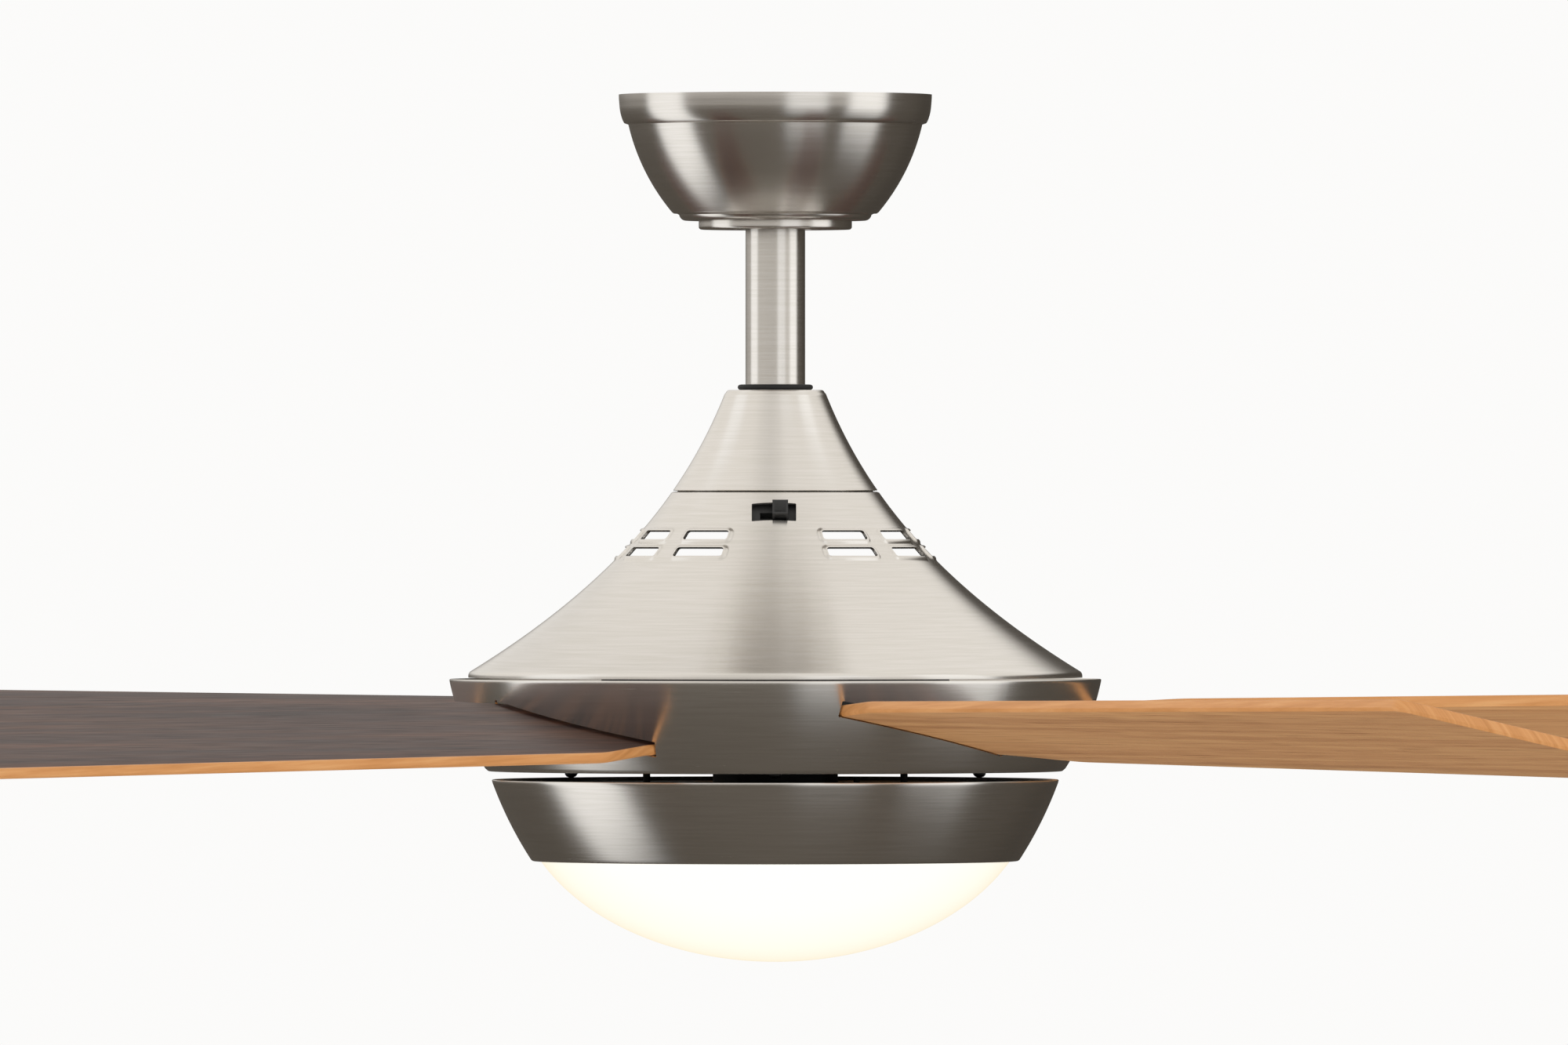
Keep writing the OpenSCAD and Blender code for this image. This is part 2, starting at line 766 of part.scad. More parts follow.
// Blade frame: +X along the blade, +Y across it towards the low edge, +Z its upper face
module blade_frame(i) {
    rotate([0, 0, blade_turn + (i - 1) * 360 / blades_n])
        translate([0, 0, z_blade]) rotate([-pitch, 0, 0]) children();
}

// One blade edge, from the root out to the tip: side is 1 on the low edge, -1 on the high one,
// grown sideways by more
function blade_edge(side, more = 0) =
    let (shoulder = [flare_end, blade_offset + side * (shoulder_w / 2 + more)],
         neck = [flare_start, side * (root_w / 2 + more)],
         root = [blade_in, side * (root_w / 2 + more)],
         tip = [tip_u, blade_offset + side * (tip_w / 2 + more)],
         far = [tip_u, blade_offset])
    concat([root], fillet(root, neck, shoulder, flare_round, 6),
           fillet(neck, shoulder, tip, flare_round, 6), fillet(shoulder, tip, far, tip_round, 6));

module blade_slab(low, high, more) {
    translate([0, 0, low]) linear_extrude(high - low)
        polygon(concat(blade_edge(1, more), reversed(blade_edge(-1, more))));
}

module blade(i) {
    color([0.36, 0.27, 0.22])
    blade_frame(i)
        difference() {
            blade_slab(-blade_t / 2, blade_t / 2, 0);
            for (at = blade_screws_at)
                translate([at[0], at[1], -blade_t]) cylinder(r = blade_screw_r, h = 2 * blade_t);
        }
}

module blade_screws() {
    color(steel)
    for (i = [1:blades_n], at = blade_screws_at)
        blade_frame(i) translate([at[0], at[1], blade_t / 2])
            rotate([180, 0, 0]) screw(blade_screw_r, blade_t + 3, 4.2, 2.4);
}

module blade_hub() {
    pad_floor = z_hub + hub_t;
    color([0.6, 0.6, 0.61])
    difference() {
        union() {
            ring(boss_r + 6, hub_in + hub_wall, z_motor_low, hub_t);
            ring(hub_in, hub_in + hub_wall, z_hub, z_motor_low - z_hub + hub_t);
            ring(hub_in, hub_r, z_hub, hub_t);
            for (i = [1:blades_n])
                difference() {
                    rotate([0, 0, blade_turn + (i - 1) * 360 / blades_n])
                        translate([pad_in, -pad_half, pad_floor - eps])
                            cube([pad_out - pad_in, 2 * pad_half, 30]);
                    blade_frame(i) translate([0, -2 * root_w, -blade_t / 2])
                        cube([2 * hub_r, 4 * root_w, 60]);
                }
        }
        for (i = [1:blades_n], at = blade_screws_at)
            blade_frame(i) translate([at[0], at[1], -blade_t / 2 - 3])
                cylinder(r = blade_screw_r, h = 4);
        around(hub_screws_n, hub_screw_circle, blade_turn + 36)
            translate([0, 0, z_motor_low - 1]) cylinder(r = 2, h = hub_t + 2);
        around(band_screws_n, band_screw_circle, 30)
            translate([0, 0, z_hub - 1]) cylinder(r = band_screw_r, h = hub_t + 1);
    }
}

module hub_screws() {
    color(steel)
    around(hub_screws_n, hub_screw_circle, blade_turn + 36)
        translate([0, 0, z_motor_low]) screw(2, hub_t + shell_t - 0.6, 3.6, 2.2);
}

module band() {
    color(dark_nickel)
    difference() {
        shell(band_points(), sheet);
        for (i = [1:blades_n])
            blade_frame(i) blade_slab(-blade_t / 2 - slot_below, blade_t / 2 + slot_above, slot_side);
        around(band_screws_n, band_screw_circle, 30)
            translate([0, 0, z_floor - 1]) cylinder(r = band_screw_r, h = sheet + 2);
    }
}

module band_screws() {
    color(black)
    around(band_screws_n, band_screw_circle, 30)
        translate([0, 0, z_floor]) screw(band_screw_r, sheet + hub_t, 2.75, 2.2);
}

module adaptor_plate() {
    color(black)
    difference() {
        ring(shaft_r, plate_r, z_plate - adaptor_t, adaptor_t);
        around(pan_screws_n, pan_screw_circle, 90)
            translate([0, 0, z_plate - adaptor_t - 1]) cylinder(r = pan_screw_r, h = adaptor_t + 2);
    }
}

module shaft_nuts() {
    color(steel)
    for (z = [z_plate, z_plate - adaptor_t - 4])
        difference() {
            translate([0, 0, z]) cylinder(r = shaft_r + 5, h = 4, $fn = 6);
            translate([0, 0, z - 1]) cylinder(r = shaft_r, h = 6);
        }
}

module light_neck() {
    color(black)
    ring(neck_r - 2, neck_r, z_pan_plate, z_plate - adaptor_t - z_pan_plate);
}

module pan_screws() {
    color(black)
    around(pan_screws_n, pan_screw_circle, 90)
        translate([0, 0, z_pan_plate - pan_plate_t])
            screw(pan_screw_r, z_plate - z_pan_plate + pan_plate_t + 1, 3.6, 2.4);
}

module light_pan() {
    color(dark_nickel)
    difference() {
        shell(pan_points(), sheet);
        for (i = [0:lugs_n - 1])
            rotate([0, 0, release - lug_span / 2 - 3 + i * 360 / lugs_n])
                rotate_extrude(angle = lug_span + 6)
                    translate([pan_hole_r - 1, z_mouth - 1]) square([lug_r + 0.4 - pan_hole_r + 1, 4]);
    }
}

module pan_plate() {
    wall = inset(bow([pan_r, z_pan], [mouth_r, z_mouth + 1.4], pan_bow, 10), sheet);
    top_r = lookup(z_pan_plate, [for (p = wall) [p[1], p[0]]]);
    low_r = lookup(z_pan_plate - pan_plate_t, [for (p = wall) [p[1], p[0]]]);
    color(black)
    difference() {
        rotate_extrude()
            polygon([[0, z_pan_plate], [top_r - 0.02, z_pan_plate],
                     [low_r - 0.02, z_pan_plate - pan_plate_t], [0, z_pan_plate - pan_plate_t]]);
        translate([0, 0, z_pan_plate - pan_plate_t - 1]) cylinder(r = 10, h = pan_plate_t + 2);
        around(pan_screws_n, pan_screw_circle, 90)
            translate([0, 0, z_pan_plate - pan_plate_t - 1])
                cylinder(r = pan_screw_r, h = pan_plate_t + 2);
        translate([earth_x, earth_y, z_pan_plate - pan_plate_t - 1])
            cylinder(r = earth_r, h = pan_plate_t + 2);
    }
}
module earth_screw() {
    color(zinc)
    translate([earth_x, earth_y, z_pan_plate - pan_plate_t])
        screw(earth_r, pan_plate_t + 3, 2.8, 1.8);
}

module lamp_bracket() {
    top = z_pan_plate - pan_plate_t;
    color(zinc)
    union() {
        translate([-socket_in, -20, top - 1.5]) cube([2 * socket_in, 40, 1.5]);
        translate([-socket_in, -14, z_lamp - 14]) cube([2 * socket_in, 28, top - z_lamp + 13]);
    }
}

module lamp_sockets() {
    color([0.93, 0.93, 0.9])
    for (side = [0, 180]) rotate([0, 0, side])
        translate([socket_in, 0, z_lamp]) rotate([0, 90, 0])
            difference() {
                cylinder(r = socket_r, h = socket_l);
                translate([0, 0, 10]) cylinder(r = cap_r + fit, h = socket_l);
            }
}

// Lamps lie level, back to back: a screw cap, a neck and a round globe
module lamps() {
    cap_end = socket_in + socket_l;
    globe = lamp_tip - lamp_r;
    color([1, 0.96, 0.86])
    for (side = [0, 180]) rotate([0, 0, side])
        translate([0, 0, z_lamp]) rotate([0, 90, 0]) rotate_extrude()
            polygon(concat([[0, socket_in + 12], [cap_r, socket_in + 12], [cap_r, cap_end + 2]],
                           [[lamp_r * sin(50), globe - lamp_r * cos(50)]],
                           arc([0, globe], lamp_r, -35, 90, 12)));
}

module glass_bowl() {
    outer = [for (i = [0:18]) let (r = bowl_r * cos(90 * i / 18)) [r, glass_z(r, bowl_a, bowl_depth)]];
    a = bowl_a - glass_t;
    b = bowl_depth - glass_t;
    inner_r = collar_r - glass_t;
    inner = [for (i = [0:18]) let (r = inner_r * cos(90 * i / 18)) [r, glass_z(r, a, b)]];
    color([1, 0.98, 0.92])
    rotate_extrude()
        polygon(concat([[collar_r, z_glass_top], [collar_r, z_mouth + 0.6]], outer,
                       reversed(inner), [[inner_r, z_glass_top]]));
}

module bowl_ring() {
    low = z_mouth + sheet + 0.3;
    color(zinc)
    union() {
        ring(collar_r, bowl_r + 0.4, low, z_glass_top - low);
        for (i = [0:lugs_n - 1])
            rotate([0, 0, i * 360 / lugs_n - lug_span / 2])
                rotate_extrude(angle = lug_span)
                    translate([bowl_r, low]) square([lug_r - bowl_r, 1.6]);
    }
}

hanger_bracket();
canopy();
trim_ring();
canopy_screws();
receiver();
ground_screw();
hanger_pin();
hanger_ball();
ball_set_screw();
downrod();
rod_collar();
coupling_cover();
coupling_yoke();
clevis_pin();
cotter_pin();
yoke_set_screws();
motor_shaft();
shaft_circlips();
motor_housing();
housing_screws();
switch_body();
switch_knob();
stator_core();
stator_windings();
bearing_inner_races();
bearing_outer_races();
bearing_balls();
rotor_upper_shell();
rotor_lower_shell();
rotor_cage();
shell_screws();
blade_hub();
hub_screws();
blade(1);  // blade_1
blade(2);  // blade_2
blade(3);  // blade_3
blade(4);  // blade_4
blade(5);  // blade_5
blade_screws();
band();
band_screws();
adaptor_plate();
shaft_nuts();
light_neck();
pan_screws();
light_pan();
pan_plate();
earth_screw();
lamp_bracket();
lamp_sockets();
lamps();
glass_bowl();
bowl_ring();
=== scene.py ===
"""Looks of the ceiling fan with light: spun nickel shells, veneered blades, a lit opal bowl,
and the studio round it."""

import json
import math

import bpy
import numpy as np
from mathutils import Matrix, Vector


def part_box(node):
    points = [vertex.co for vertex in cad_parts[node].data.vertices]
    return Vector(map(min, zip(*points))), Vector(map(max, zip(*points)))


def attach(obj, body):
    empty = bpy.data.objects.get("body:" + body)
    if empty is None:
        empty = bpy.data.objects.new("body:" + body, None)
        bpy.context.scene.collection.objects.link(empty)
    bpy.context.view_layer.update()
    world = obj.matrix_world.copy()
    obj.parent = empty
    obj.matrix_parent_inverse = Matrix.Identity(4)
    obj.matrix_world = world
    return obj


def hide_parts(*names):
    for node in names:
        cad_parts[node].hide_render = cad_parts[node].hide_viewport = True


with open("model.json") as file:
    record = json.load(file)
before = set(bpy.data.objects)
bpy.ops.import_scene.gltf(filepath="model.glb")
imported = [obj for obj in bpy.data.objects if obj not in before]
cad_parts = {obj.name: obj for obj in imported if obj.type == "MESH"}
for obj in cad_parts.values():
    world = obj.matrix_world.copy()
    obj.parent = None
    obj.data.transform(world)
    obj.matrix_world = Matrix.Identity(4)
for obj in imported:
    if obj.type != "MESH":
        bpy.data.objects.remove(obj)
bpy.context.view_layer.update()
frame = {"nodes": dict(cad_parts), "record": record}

MM = 0.001


def low(node):
    """Lowest corner of a CAD node, in millimetres."""
    return np.array(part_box(node)[0]) / MM


def high(node):
    """Highest corner of a CAD node, in millimetres."""
    return np.array(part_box(node)[1]) / MM


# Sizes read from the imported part, in millimetres
canopy_r, z_foot = high("canopy")[0], low("canopy")[2]
trim_r, z_trim = high("trim_ring")[0], low("trim_ring")[2]
rod_r, rod_top, rod_end = high("downrod")[0], high("downrod")[2], low("downrod")[2]
z_collar, z_cover = high("rod_collar")[2], high("coupling_cover")[2]
z_cone, z_lip = high("motor_housing")[2], low("motor_housing")[2]
band_r, z_floor = high("band")[0], low("band")[2]
pan_r, z_mouth = high("light_pan")[0], low("light_pan")[2]
bowl_r, z_bowl, z_glass = high("glass_bowl")[0], low("glass_bowl")[2], high("glass_bowl")[2]
collar_low, collar_r = low("rod_collar")[2], high("rod_collar")[0]

# Sizes that the shells share with the part's source, in millimetres
SHEET = 1.1
SEAM = 0.5
cover_h = z_cover - z_cone - SEAM
cone_h = z_cone - z_lip
z_band = z_lip - 0.6
band_foot_r = band_r - 16
z_pan = z_floor - 3.7
mouth_r = pan_r - 17
LIP_R = 2.4
ROD_HOLE_R, HOUSING_HOLE_R = 19.6, 19.5
VENT_H, VENT_SPAN, VENT_ROUND = 4.0, 20.4, 1.3
WINDOW_W, WINDOW_H = 19.8, 10.0
PITCH, BLADE_T, BLADE_OFFSET = 11.6, 5.0, 2.0
ROOT_W, SHOULDER_W, TIP_W = 87.0, 114.0, 155.6
BLADE_IN = band_foot_r - 46
SWEEP_R = 660
TIP_U = math.sqrt(SWEEP_R**2 - (TIP_W / 2 + BLADE_OFFSET) ** 2) - 0.05
Z_BLADE = z_floor + 19.3
FIRST_BLADE, BLADES = 12, 5


# ---------------------------------------------------------------- lines in a plane


def arc(centre, r, a0, a1, n):
    """Points c + r (cos a, sin a), with a going evenly from a0 to a1 degrees."""
    a = np.radians(np.linspace(a0, a1, n + 1))
    return np.array(centre) + r * np.stack([np.cos(a), np.sin(a)], 1)


def bow(p, q, r, n):
    """The arc of radius r from p down to q that bulges away from the axis."""
    p, q = np.array(p, float), np.array(q, float)
    half = np.linalg.norm(q - p) / 2
    d = (q - p) / (2 * half)
    c = (p + q) / 2 + math.sqrt(r * r - half * half) * np.array([d[1], -d[0]])
    a, b = p - c, q - c
    return arc(c, r, math.degrees(math.atan2(a[1], a[0])), math.degrees(math.atan2(b[1], b[0])), n)


def fillet(a, b, c, r, n):
    """The arc of radius r that touches both lines of the corner at b between a and c."""
    a, b, c = (np.array(x, float) for x in (a, b, c))
    u, v = (a - b) / np.linalg.norm(a - b), (c - b) / np.linalg.norm(c - b)
    half = math.acos(float(u @ v)) / 2
    o = b + (u + v) / np.linalg.norm(u + v) * r / math.sin(half)
    s, e = b + u * r / math.tan(half) - o, b + v * r / math.tan(half) - o
    a0 = math.degrees(math.atan2(s[1], s[0]))
    turn = (math.degrees(math.atan2(e[1], e[0])) - a0 + 180) % 360 - 180
    return arc(o, r, a0, a0 + turn, n)


def inset(line, t):
    """The line moved sideways by t towards the axis, along its own normals."""
    d = np.gradient(line, axis=0)
    d /= np.linalg.norm(d, axis=1)[:, None]
    return line + t * np.stack([d[:, 1], -d[:, 0]], 1)


def spread(line, gap):
    """The same line with points no further apart than gap, placed evenly on each stretch."""
    out = [line[:1]]
    for p, q in zip(line[:-1], line[1:]):
        n = max(1, math.ceil(np.linalg.norm(q - p) / gap))
        out.append(p + (q - p) * (np.arange(1, n + 1) / n)[:, None])
    return np.concatenate(out)


def sheet_loop(line, t):
    """A closed section: the outer line going down and the inner line, t inside it, coming back."""
    return np.concatenate([line, inset(line, t)[::-1]])


FLARE_DEPTH = cover_h + SEAM + cone_h - 2.9
FLARE_END = band_r - 9.6
COVER_TOP_R = 22.0
FLARE = COVER_TOP_R + np.array([0, 0.143, 0.404, 1]) * (FLARE_END - COVER_TOP_R)


def flare(depth):
    """Radius of the cover and housing at a depth below the cover's top: a cubic Bernstein curve
    of four radii."""
    t = np.asarray(depth) / FLARE_DEPTH
    s = 1 - t
    return FLARE[0] * s**3 + 3 * FLARE[1] * s * s * t + 3 * FLARE[2] * s * t * t + FLARE[3] * t**3


def flare_slope(depth):
    """How fast the flare widens there, by the difference over 0.2 mm."""
    return (flare(depth + 0.1) - flare(depth - 0.1)) / 0.2


def flare_line(depths):
    """The flare at those depths as points (r, z)."""
    return np.stack([flare(depths), z_cover - np.asarray(depths)], 1)


# ---------------------------------------------------------------- meshes


def make(name, points, faces, body, slot, finishes, stands_for=(), bend=35, face_finish=None, uv=None):
    """A finished piece: points in millimetres and faces go into a mesh in metres, shaded smooth
    except where two faces meet at more than bend degrees. finishes is one material, or a list of them
    from which face_finish picks one for each face."""
    mesh = bpy.data.meshes.new(name)
    mesh.from_pydata((np.asarray(points, float) * MM).tolist(), [], [list(map(int, f)) for f in faces])
    mesh.validate()
    for material in finishes if isinstance(finishes, list) else [finishes]:
        mesh.materials.append(material)
    if face_finish is not None:
        mesh.polygons.foreach_set("material_index", np.asarray(face_finish, np.int32))
    if uv is not None:
        layer = mesh.uv_layers.new(name="grain")
        loops = np.zeros(len(mesh.loops), np.int32)
        mesh.loops.foreach_get("vertex_index", loops)
        layer.data.foreach_set("uv", np.asarray(uv, np.float32)[loops].ravel())
    mesh.polygons.foreach_set("use_smooth", np.ones(len(mesh.polygons), bool))
    mesh.set_sharp_from_angle(angle=math.radians(bend))
    piece = bpy.data.objects.new(name, mesh)
    bpy.context.scene.collection.objects.link(piece)
    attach(piece, body)
    if stands_for:
        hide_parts(*stands_for)
    return piece


def lathe(section, n=288):
    """A closed section turned round the axis: point (r, z) at angle a goes to (r cos a, r sin a, z).
    A point on the axis is one pole, shared by all its faces."""
    section = np.asarray(section, float)
    m = len(section)
    a = np.arange(n) * 2 * math.pi / n
    points, index = [], np.zeros((n, m), int)
    count = 0
    for k, (r, z) in enumerate(section):
        if abs(r) < 1e-6:
            points.append([[0, 0, z]])
            index[:, k] = count
            count += 1
        else:
            points.append(np.stack([r * np.cos(a), r * np.sin(a), np.full(n, z)], 1))
            index[:, k] = count + np.arange(n)
            count += n
    near, far = index, np.roll(index, -1, axis=0)
    quads = np.stack([near, np.roll(near, -1, 1), np.roll(far, -1, 1), far], 2).reshape(-1, 4)
    faces = []
    for q in quads:
        u = list(dict.fromkeys(q.tolist()))
        if len(u) > 2:
            faces.append(u)
    return np.concatenate([np.asarray(p, float) for p in points]), faces


def cut_sheet(angles, outer, thickness, opening):
    """A turned sheet with holes. Its grid is angle by place along the outer line. opening(points) is the
    distance in millimetres to the nearest hole's edge, negative inside it: grid points near an edge slide
    onto it along the steepest way, cells inside are dropped, and the rim is closed by walls between the
    outer and the inner skin."""
    small_turn, small_step, reach = 1e-4, 0.01, 2.0
    n, m = len(angles), len(outer)
    inner = inset(outer, thickness)
    a, k = np.meshgrid(np.radians(angles), np.arange(m, dtype=float), indexing="ij")
    gap = np.diff(np.concatenate([np.radians(angles), [np.radians(angles[0]) + 2 * math.pi]]))
    da = np.maximum(gap, np.roll(gap, 1))[:, None]

    def at(line, a, k):
        r = np.interp(k, np.arange(m), line[:, 0])
        return np.stack([r * np.cos(a), r * np.sin(a), np.interp(k, np.arange(m), line[:, 1])], -1)

    def slopes(a, k):
        """The distance there, and how fast it changes with the angle and with the place."""
        f = opening(at(outer, a, k))
        by_angle = (opening(at(outer, a + small_turn, k)) - f) / small_turn
        by_place = (opening(at(outer, a, k + small_step)) - f) / small_step
        return f, by_angle, by_place

    f, by_angle, by_place = slopes(a, k)
    near = np.abs(f) <= 0.52 * np.maximum(np.abs(by_angle) * da, np.abs(by_place))
    near &= np.abs(f) < reach
    near[:, [0, -1]] = False
    for _ in range(4):
        step = -f / np.maximum(by_angle**2 * da**2 + by_place**2, 1e-9)
        a = np.where(near, a + np.clip(step * by_angle * da**2, -0.6 * da, 0.6 * da), a)
        k = np.where(near, k + np.clip(step * by_place, -0.6, 0.6), k)
        f, by_angle, by_place = slopes(a, k)
    sign = np.where(near, 0, np.sign(f)).astype(int)
    skin, back = at(outer, a, k), at(inner, a, k)
    index = np.arange(n * m).reshape(n, m)
    after = np.roll(index, -1, axis=0)
    corners = np.stack([index[:, :-1], index[:, 1:], after[:, 1:], after[:, :-1]], 2).reshape(-1, 4)
    signs = sign.ravel()[corners]
    middle = opening(skin.reshape(-1, 3)[corners].mean(1))
    whole = (signs >= 0).all(1) & ((signs > 0).any(1) | (middle > 0))
    quads = corners[whole]
    faces = [quads]
    mixed = (signs < 0).any(1) & (signs > 0).any(1)
    c, s = corners[mixed], signs[mixed]
    for lost in range(4):
        kept = [(lost + 1) % 4, (lost + 2) % 4, (lost + 3) % 4]
        good = (s[:, lost] < 0) & (s[:, kept] >= 0).all(1)
        faces.append(c[good][:, kept])
    edges = np.concatenate([np.stack([group, np.roll(group, -1, 1)], 2).reshape(-1, 2) for group in faces])
    total = n * m
    open_edges = edges[~np.isin(edges[:, 0] * total + edges[:, 1], edges[:, 1] * total + edges[:, 0])]
    first, second = open_edges[:, 0], open_edges[:, 1]
    walls = np.stack([second, first, first + total, second + total], 1)
    everything = []
    for group in faces:
        everything += group.tolist() + (group[:, ::-1] + total).tolist()
    everything += walls.tolist()
    points = np.concatenate([skin.reshape(-1, 3), back.reshape(-1, 3)])
    used = np.unique(np.concatenate([np.array(x) for x in everything]))
    new = np.full(len(points), -1)
    new[used] = np.arange(len(used))
    return points[used], [[new[i] for i in face] for face in everything]


def steps(spans):
    """Places along a line: each span is (from, to, step), cut evenly, and the last end is left out."""
    cuts = [np.linspace(p, q, max(1, round((q - p) / s)), endpoint=False) for p, q, s in spans]
    return np.concatenate(cuts)


def rounded_block(size, r, n=5):
    """A box with every edge rounded: the sphere's normal times r, added to the corner that the normal
    points to."""
    half = np.array(size) / 2 - r
    quarter = np.linspace(0, 90, n + 1)
    phi = np.radians(np.concatenate([quarter + 90 * q for q in range(4)]))
    corner_x = np.repeat([1, -1, -1, 1], n + 1)
    corner_y = np.repeat([1, 1, -1, -1], n + 1)
    theta = np.radians(np.concatenate([quarter - 90, quarter]))
    corner_z = np.repeat([-1, 1], n + 1)
    t, p = np.meshgrid(theta, phi, indexing="ij")
    points = np.stack(
        [
            half[0] * corner_x + r * np.cos(t) * np.cos(p),
            half[1] * corner_y + r * np.cos(t) * np.sin(p),
            half[2] * corner_z[:, None] + r * np.sin(t),
        ],
        -1,
    )
    rows, cols = points.shape[:2]
    index = np.arange(rows * cols).reshape(rows, cols)
    right = np.roll(index, -1, axis=1)
    faces = np.stack([index[:-1], right[:-1], right[1:], index[1:]], 2).reshape(-1, 4).tolist()
    faces += [index[0][:: n + 1][::-1].tolist(), index[-1][:: n + 1].tolist()]
    return points.reshape(-1, 3), faces


# ---------------------------------------------------------------- finishes


def tone(code):
    """An sRGB hex colour as linear red, green, blue and 1."""
    v = np.array([int(code[i : i + 2], 16) for i in (1, 3, 5)]) / 255
    return tuple(float(x) for x in np.where(v <= 0.04045, v / 12.92, ((v + 0.055) / 1.055) ** 2.4)) + (1.0,)


def add(tree, kind, links=None, settings=None, values=None):
    """One node: settings are its own properties, values go on its sockets, links join sockets to it."""
    node = tree.nodes.new(kind)
    for key, value in (settings or {}).items():
        setattr(node, key, value)
    for key, value in (values or {}).items():
        node.inputs[key].default_value = value
    for key, source in (links or {}).items():
        tree.links.new(source, node.inputs[key])
    return node


def ramp(tree, source, stops, smooth="LINEAR"):
    """A colour ramp through (place, colour) stops."""
    node = add(tree, "ShaderNodeValToRGB", {"Fac": source})
    line = node.color_ramp
    line.interpolation = smooth
    while len(line.elements) < len(stops):
        line.elements.new(1.0)
    for element, (place, colour) in zip(line.elements, stops):
        element.position = place
        element.color = colour if len(colour) == 4 else (*colour, 1.0)
    return node.outputs["Color"]


def finish(name, colour, **sockets):
    """A new material whose Principled shader has this colour and these socket values."""
    material = bpy.data.materials.new(name)
    material.use_nodes = True
    tree = material.node_tree
    shader = tree.nodes["Principled BSDF"]
    shader.inputs["Base Color"].default_value = tone(colour)
    for key, value in sockets.items():
        shader.inputs[key.replace("_", " ")].default_value = value
    return material, tree, shader


def place_of(tree, scale, uv=False):
    """Object coordinates, or the grain map, times a scale in patterns per metre."""
    coords = add(tree, "ShaderNodeTexCoord").outputs["Object"]
    if uv:
        coords = add(tree, "ShaderNodeUVMap", settings={"uv_map": "grain"}).outputs["UV"]
    return add(tree, "ShaderNodeMapping", {"Vector": coords}, values={"Scale": scale}).outputs["Vector"]


def noise(tree, vector, detail=3.0, roughness=0.55):
    """A noise with one patch to each unit of the vector."""
    values = {"Scale": 1.0, "Detail": detail, "Roughness": roughness}
    return add(tree, "ShaderNodeTexNoise", {"Vector": vector}, values=values).outputs["Fac"]


def spread_to(tree, source, low_value, high_value, start=0.3, end=0.7):
    """A pattern from start to end stretched to low_value to high_value."""
    return add(
        tree,
        "ShaderNodeMapRange",
        {"Value": source},
        values={"From Min": start, "From Max": end, "To Min": low_value, "To Max": high_value},
    ).outputs["Result"]


def darkened(tree, colour, dark, share):
    """The colour multiplied by the dark pattern, by that share."""
    settings = {"data_type": "RGBA", "blend_type": "MULTIPLY"}
    mix = add(tree, "ShaderNodeMix", settings=settings, values={"Factor": share})
    tree.links.new(colour, mix.inputs[6])
    tree.links.new(dark, mix.inputs[7])
    return mix.outputs[2]


def bump(tree, shader, height, distance, strength):
    """A bump of that depth in metres on the shader's normal."""
    values = {"Distance": distance, "Strength": strength}
    node = add(tree, "ShaderNodeBump", {"Height": height}, values=values)
    tree.links.new(node.outputs["Normal"], shader.inputs["Normal"])


def turned_nickel():
    """Satin nickel plate on spun steel, brushed round the axis: fine rings scatter light across
    themselves, so each reflection is drawn out along the axis."""
    material, tree, shader = finish(
        "satin_nickel_brushed",
        "#e6e2dc",
        Metallic=1.0,
        Roughness=0.25,
        Anisotropic=0.72,
        Anisotropic_Rotation=0.25,
    )
    rings = noise(tree, place_of(tree, (26, 26, 1900)), detail=4, roughness=0.7)
    long_rings = noise(tree, place_of(tree, (30, 30, 1200)), detail=2)
    tree.links.new(spread_to(tree, rings, 0.22, 0.275, 0.25, 0.75), shader.inputs["Roughness"])
    colour = ramp(tree, long_rings, [(0.3, tone("#e3dfd8")), (0.7, tone("#eae6e1"))])
    tree.links.new(colour, shader.inputs["Base Color"])
    tangent = add(tree, "ShaderNodeTangent", settings={"direction_type": "RADIAL", "axis": "Z"})
    tree.links.new(tangent.outputs["Tangent"], shader.inputs["Tangent"])
    bump(tree, shader, rings, 0.00002, 0.36)
    return material


def walnut_veneer():
    """Dark walnut veneer under satin lacquer: long fine figure, dark pores and a slow drift of colour."""
    material, tree, shader = finish("walnut_veneer_lacquered", "#3a241a", Roughness=0.47, IOR=1.5)
    shader.inputs["Specular IOR Level"].default_value = 0.44
    figure = noise(tree, place_of(tree, (3.2, 95, 1), uv=True), detail=5, roughness=0.6)
    pores = noise(tree, place_of(tree, (26, 900, 1), uv=True), detail=2)
    browns = [(0.28, tone("#2a150e")), (0.45, tone("#3d2016"))]
    browns += [(0.58, tone("#50301f")), (0.72, tone("#6a402c"))]
    colour = ramp(tree, figure, browns)
    dark = ramp(tree, pores, [(0.36, tone("#8d8581")), (0.46, tone("#ffffff"))])
    tree.links.new(darkened(tree, colour, dark, 0.8), shader.inputs["Base Color"])
    tree.links.new(spread_to(tree, pores, 0.55, 0.42), shader.inputs["Roughness"])
    bump(tree, shader, pores, 0.00004, 0.5)
    return material


def oak_veneer():
    """Light oak veneer, clear satin lacquer: straight grain with short dark pores along it."""
    material, tree, shader = finish("oak_veneer_lacquered", "#b98656", Roughness=0.42, IOR=1.5)
    figure = noise(tree, place_of(tree, (2.0, 110, 1), uv=True), detail=5, roughness=0.62)
    pores = noise(tree, place_of(tree, (18, 1500, 1), uv=True), detail=2, roughness=0.5)
    tans = [(0.28, tone("#bb8452")), (0.46, tone("#cb935f"))]
    tans += [(0.6, tone("#d5a069")), (0.74, tone("#c08a58"))]
    colour = ramp(tree, figure, tans)
    dark = ramp(tree, pores, [(0.34, tone("#c7b09c")), (0.46, tone("#ffffff"))])
    tree.links.new(darkened(tree, colour, dark, 0.85), shader.inputs["Base Color"])
    tree.links.new(spread_to(tree, pores, 0.5, 0.38), shader.inputs["Roughness"])
    bump(tree, shader, pores, 0.00004, 0.5)
    return material


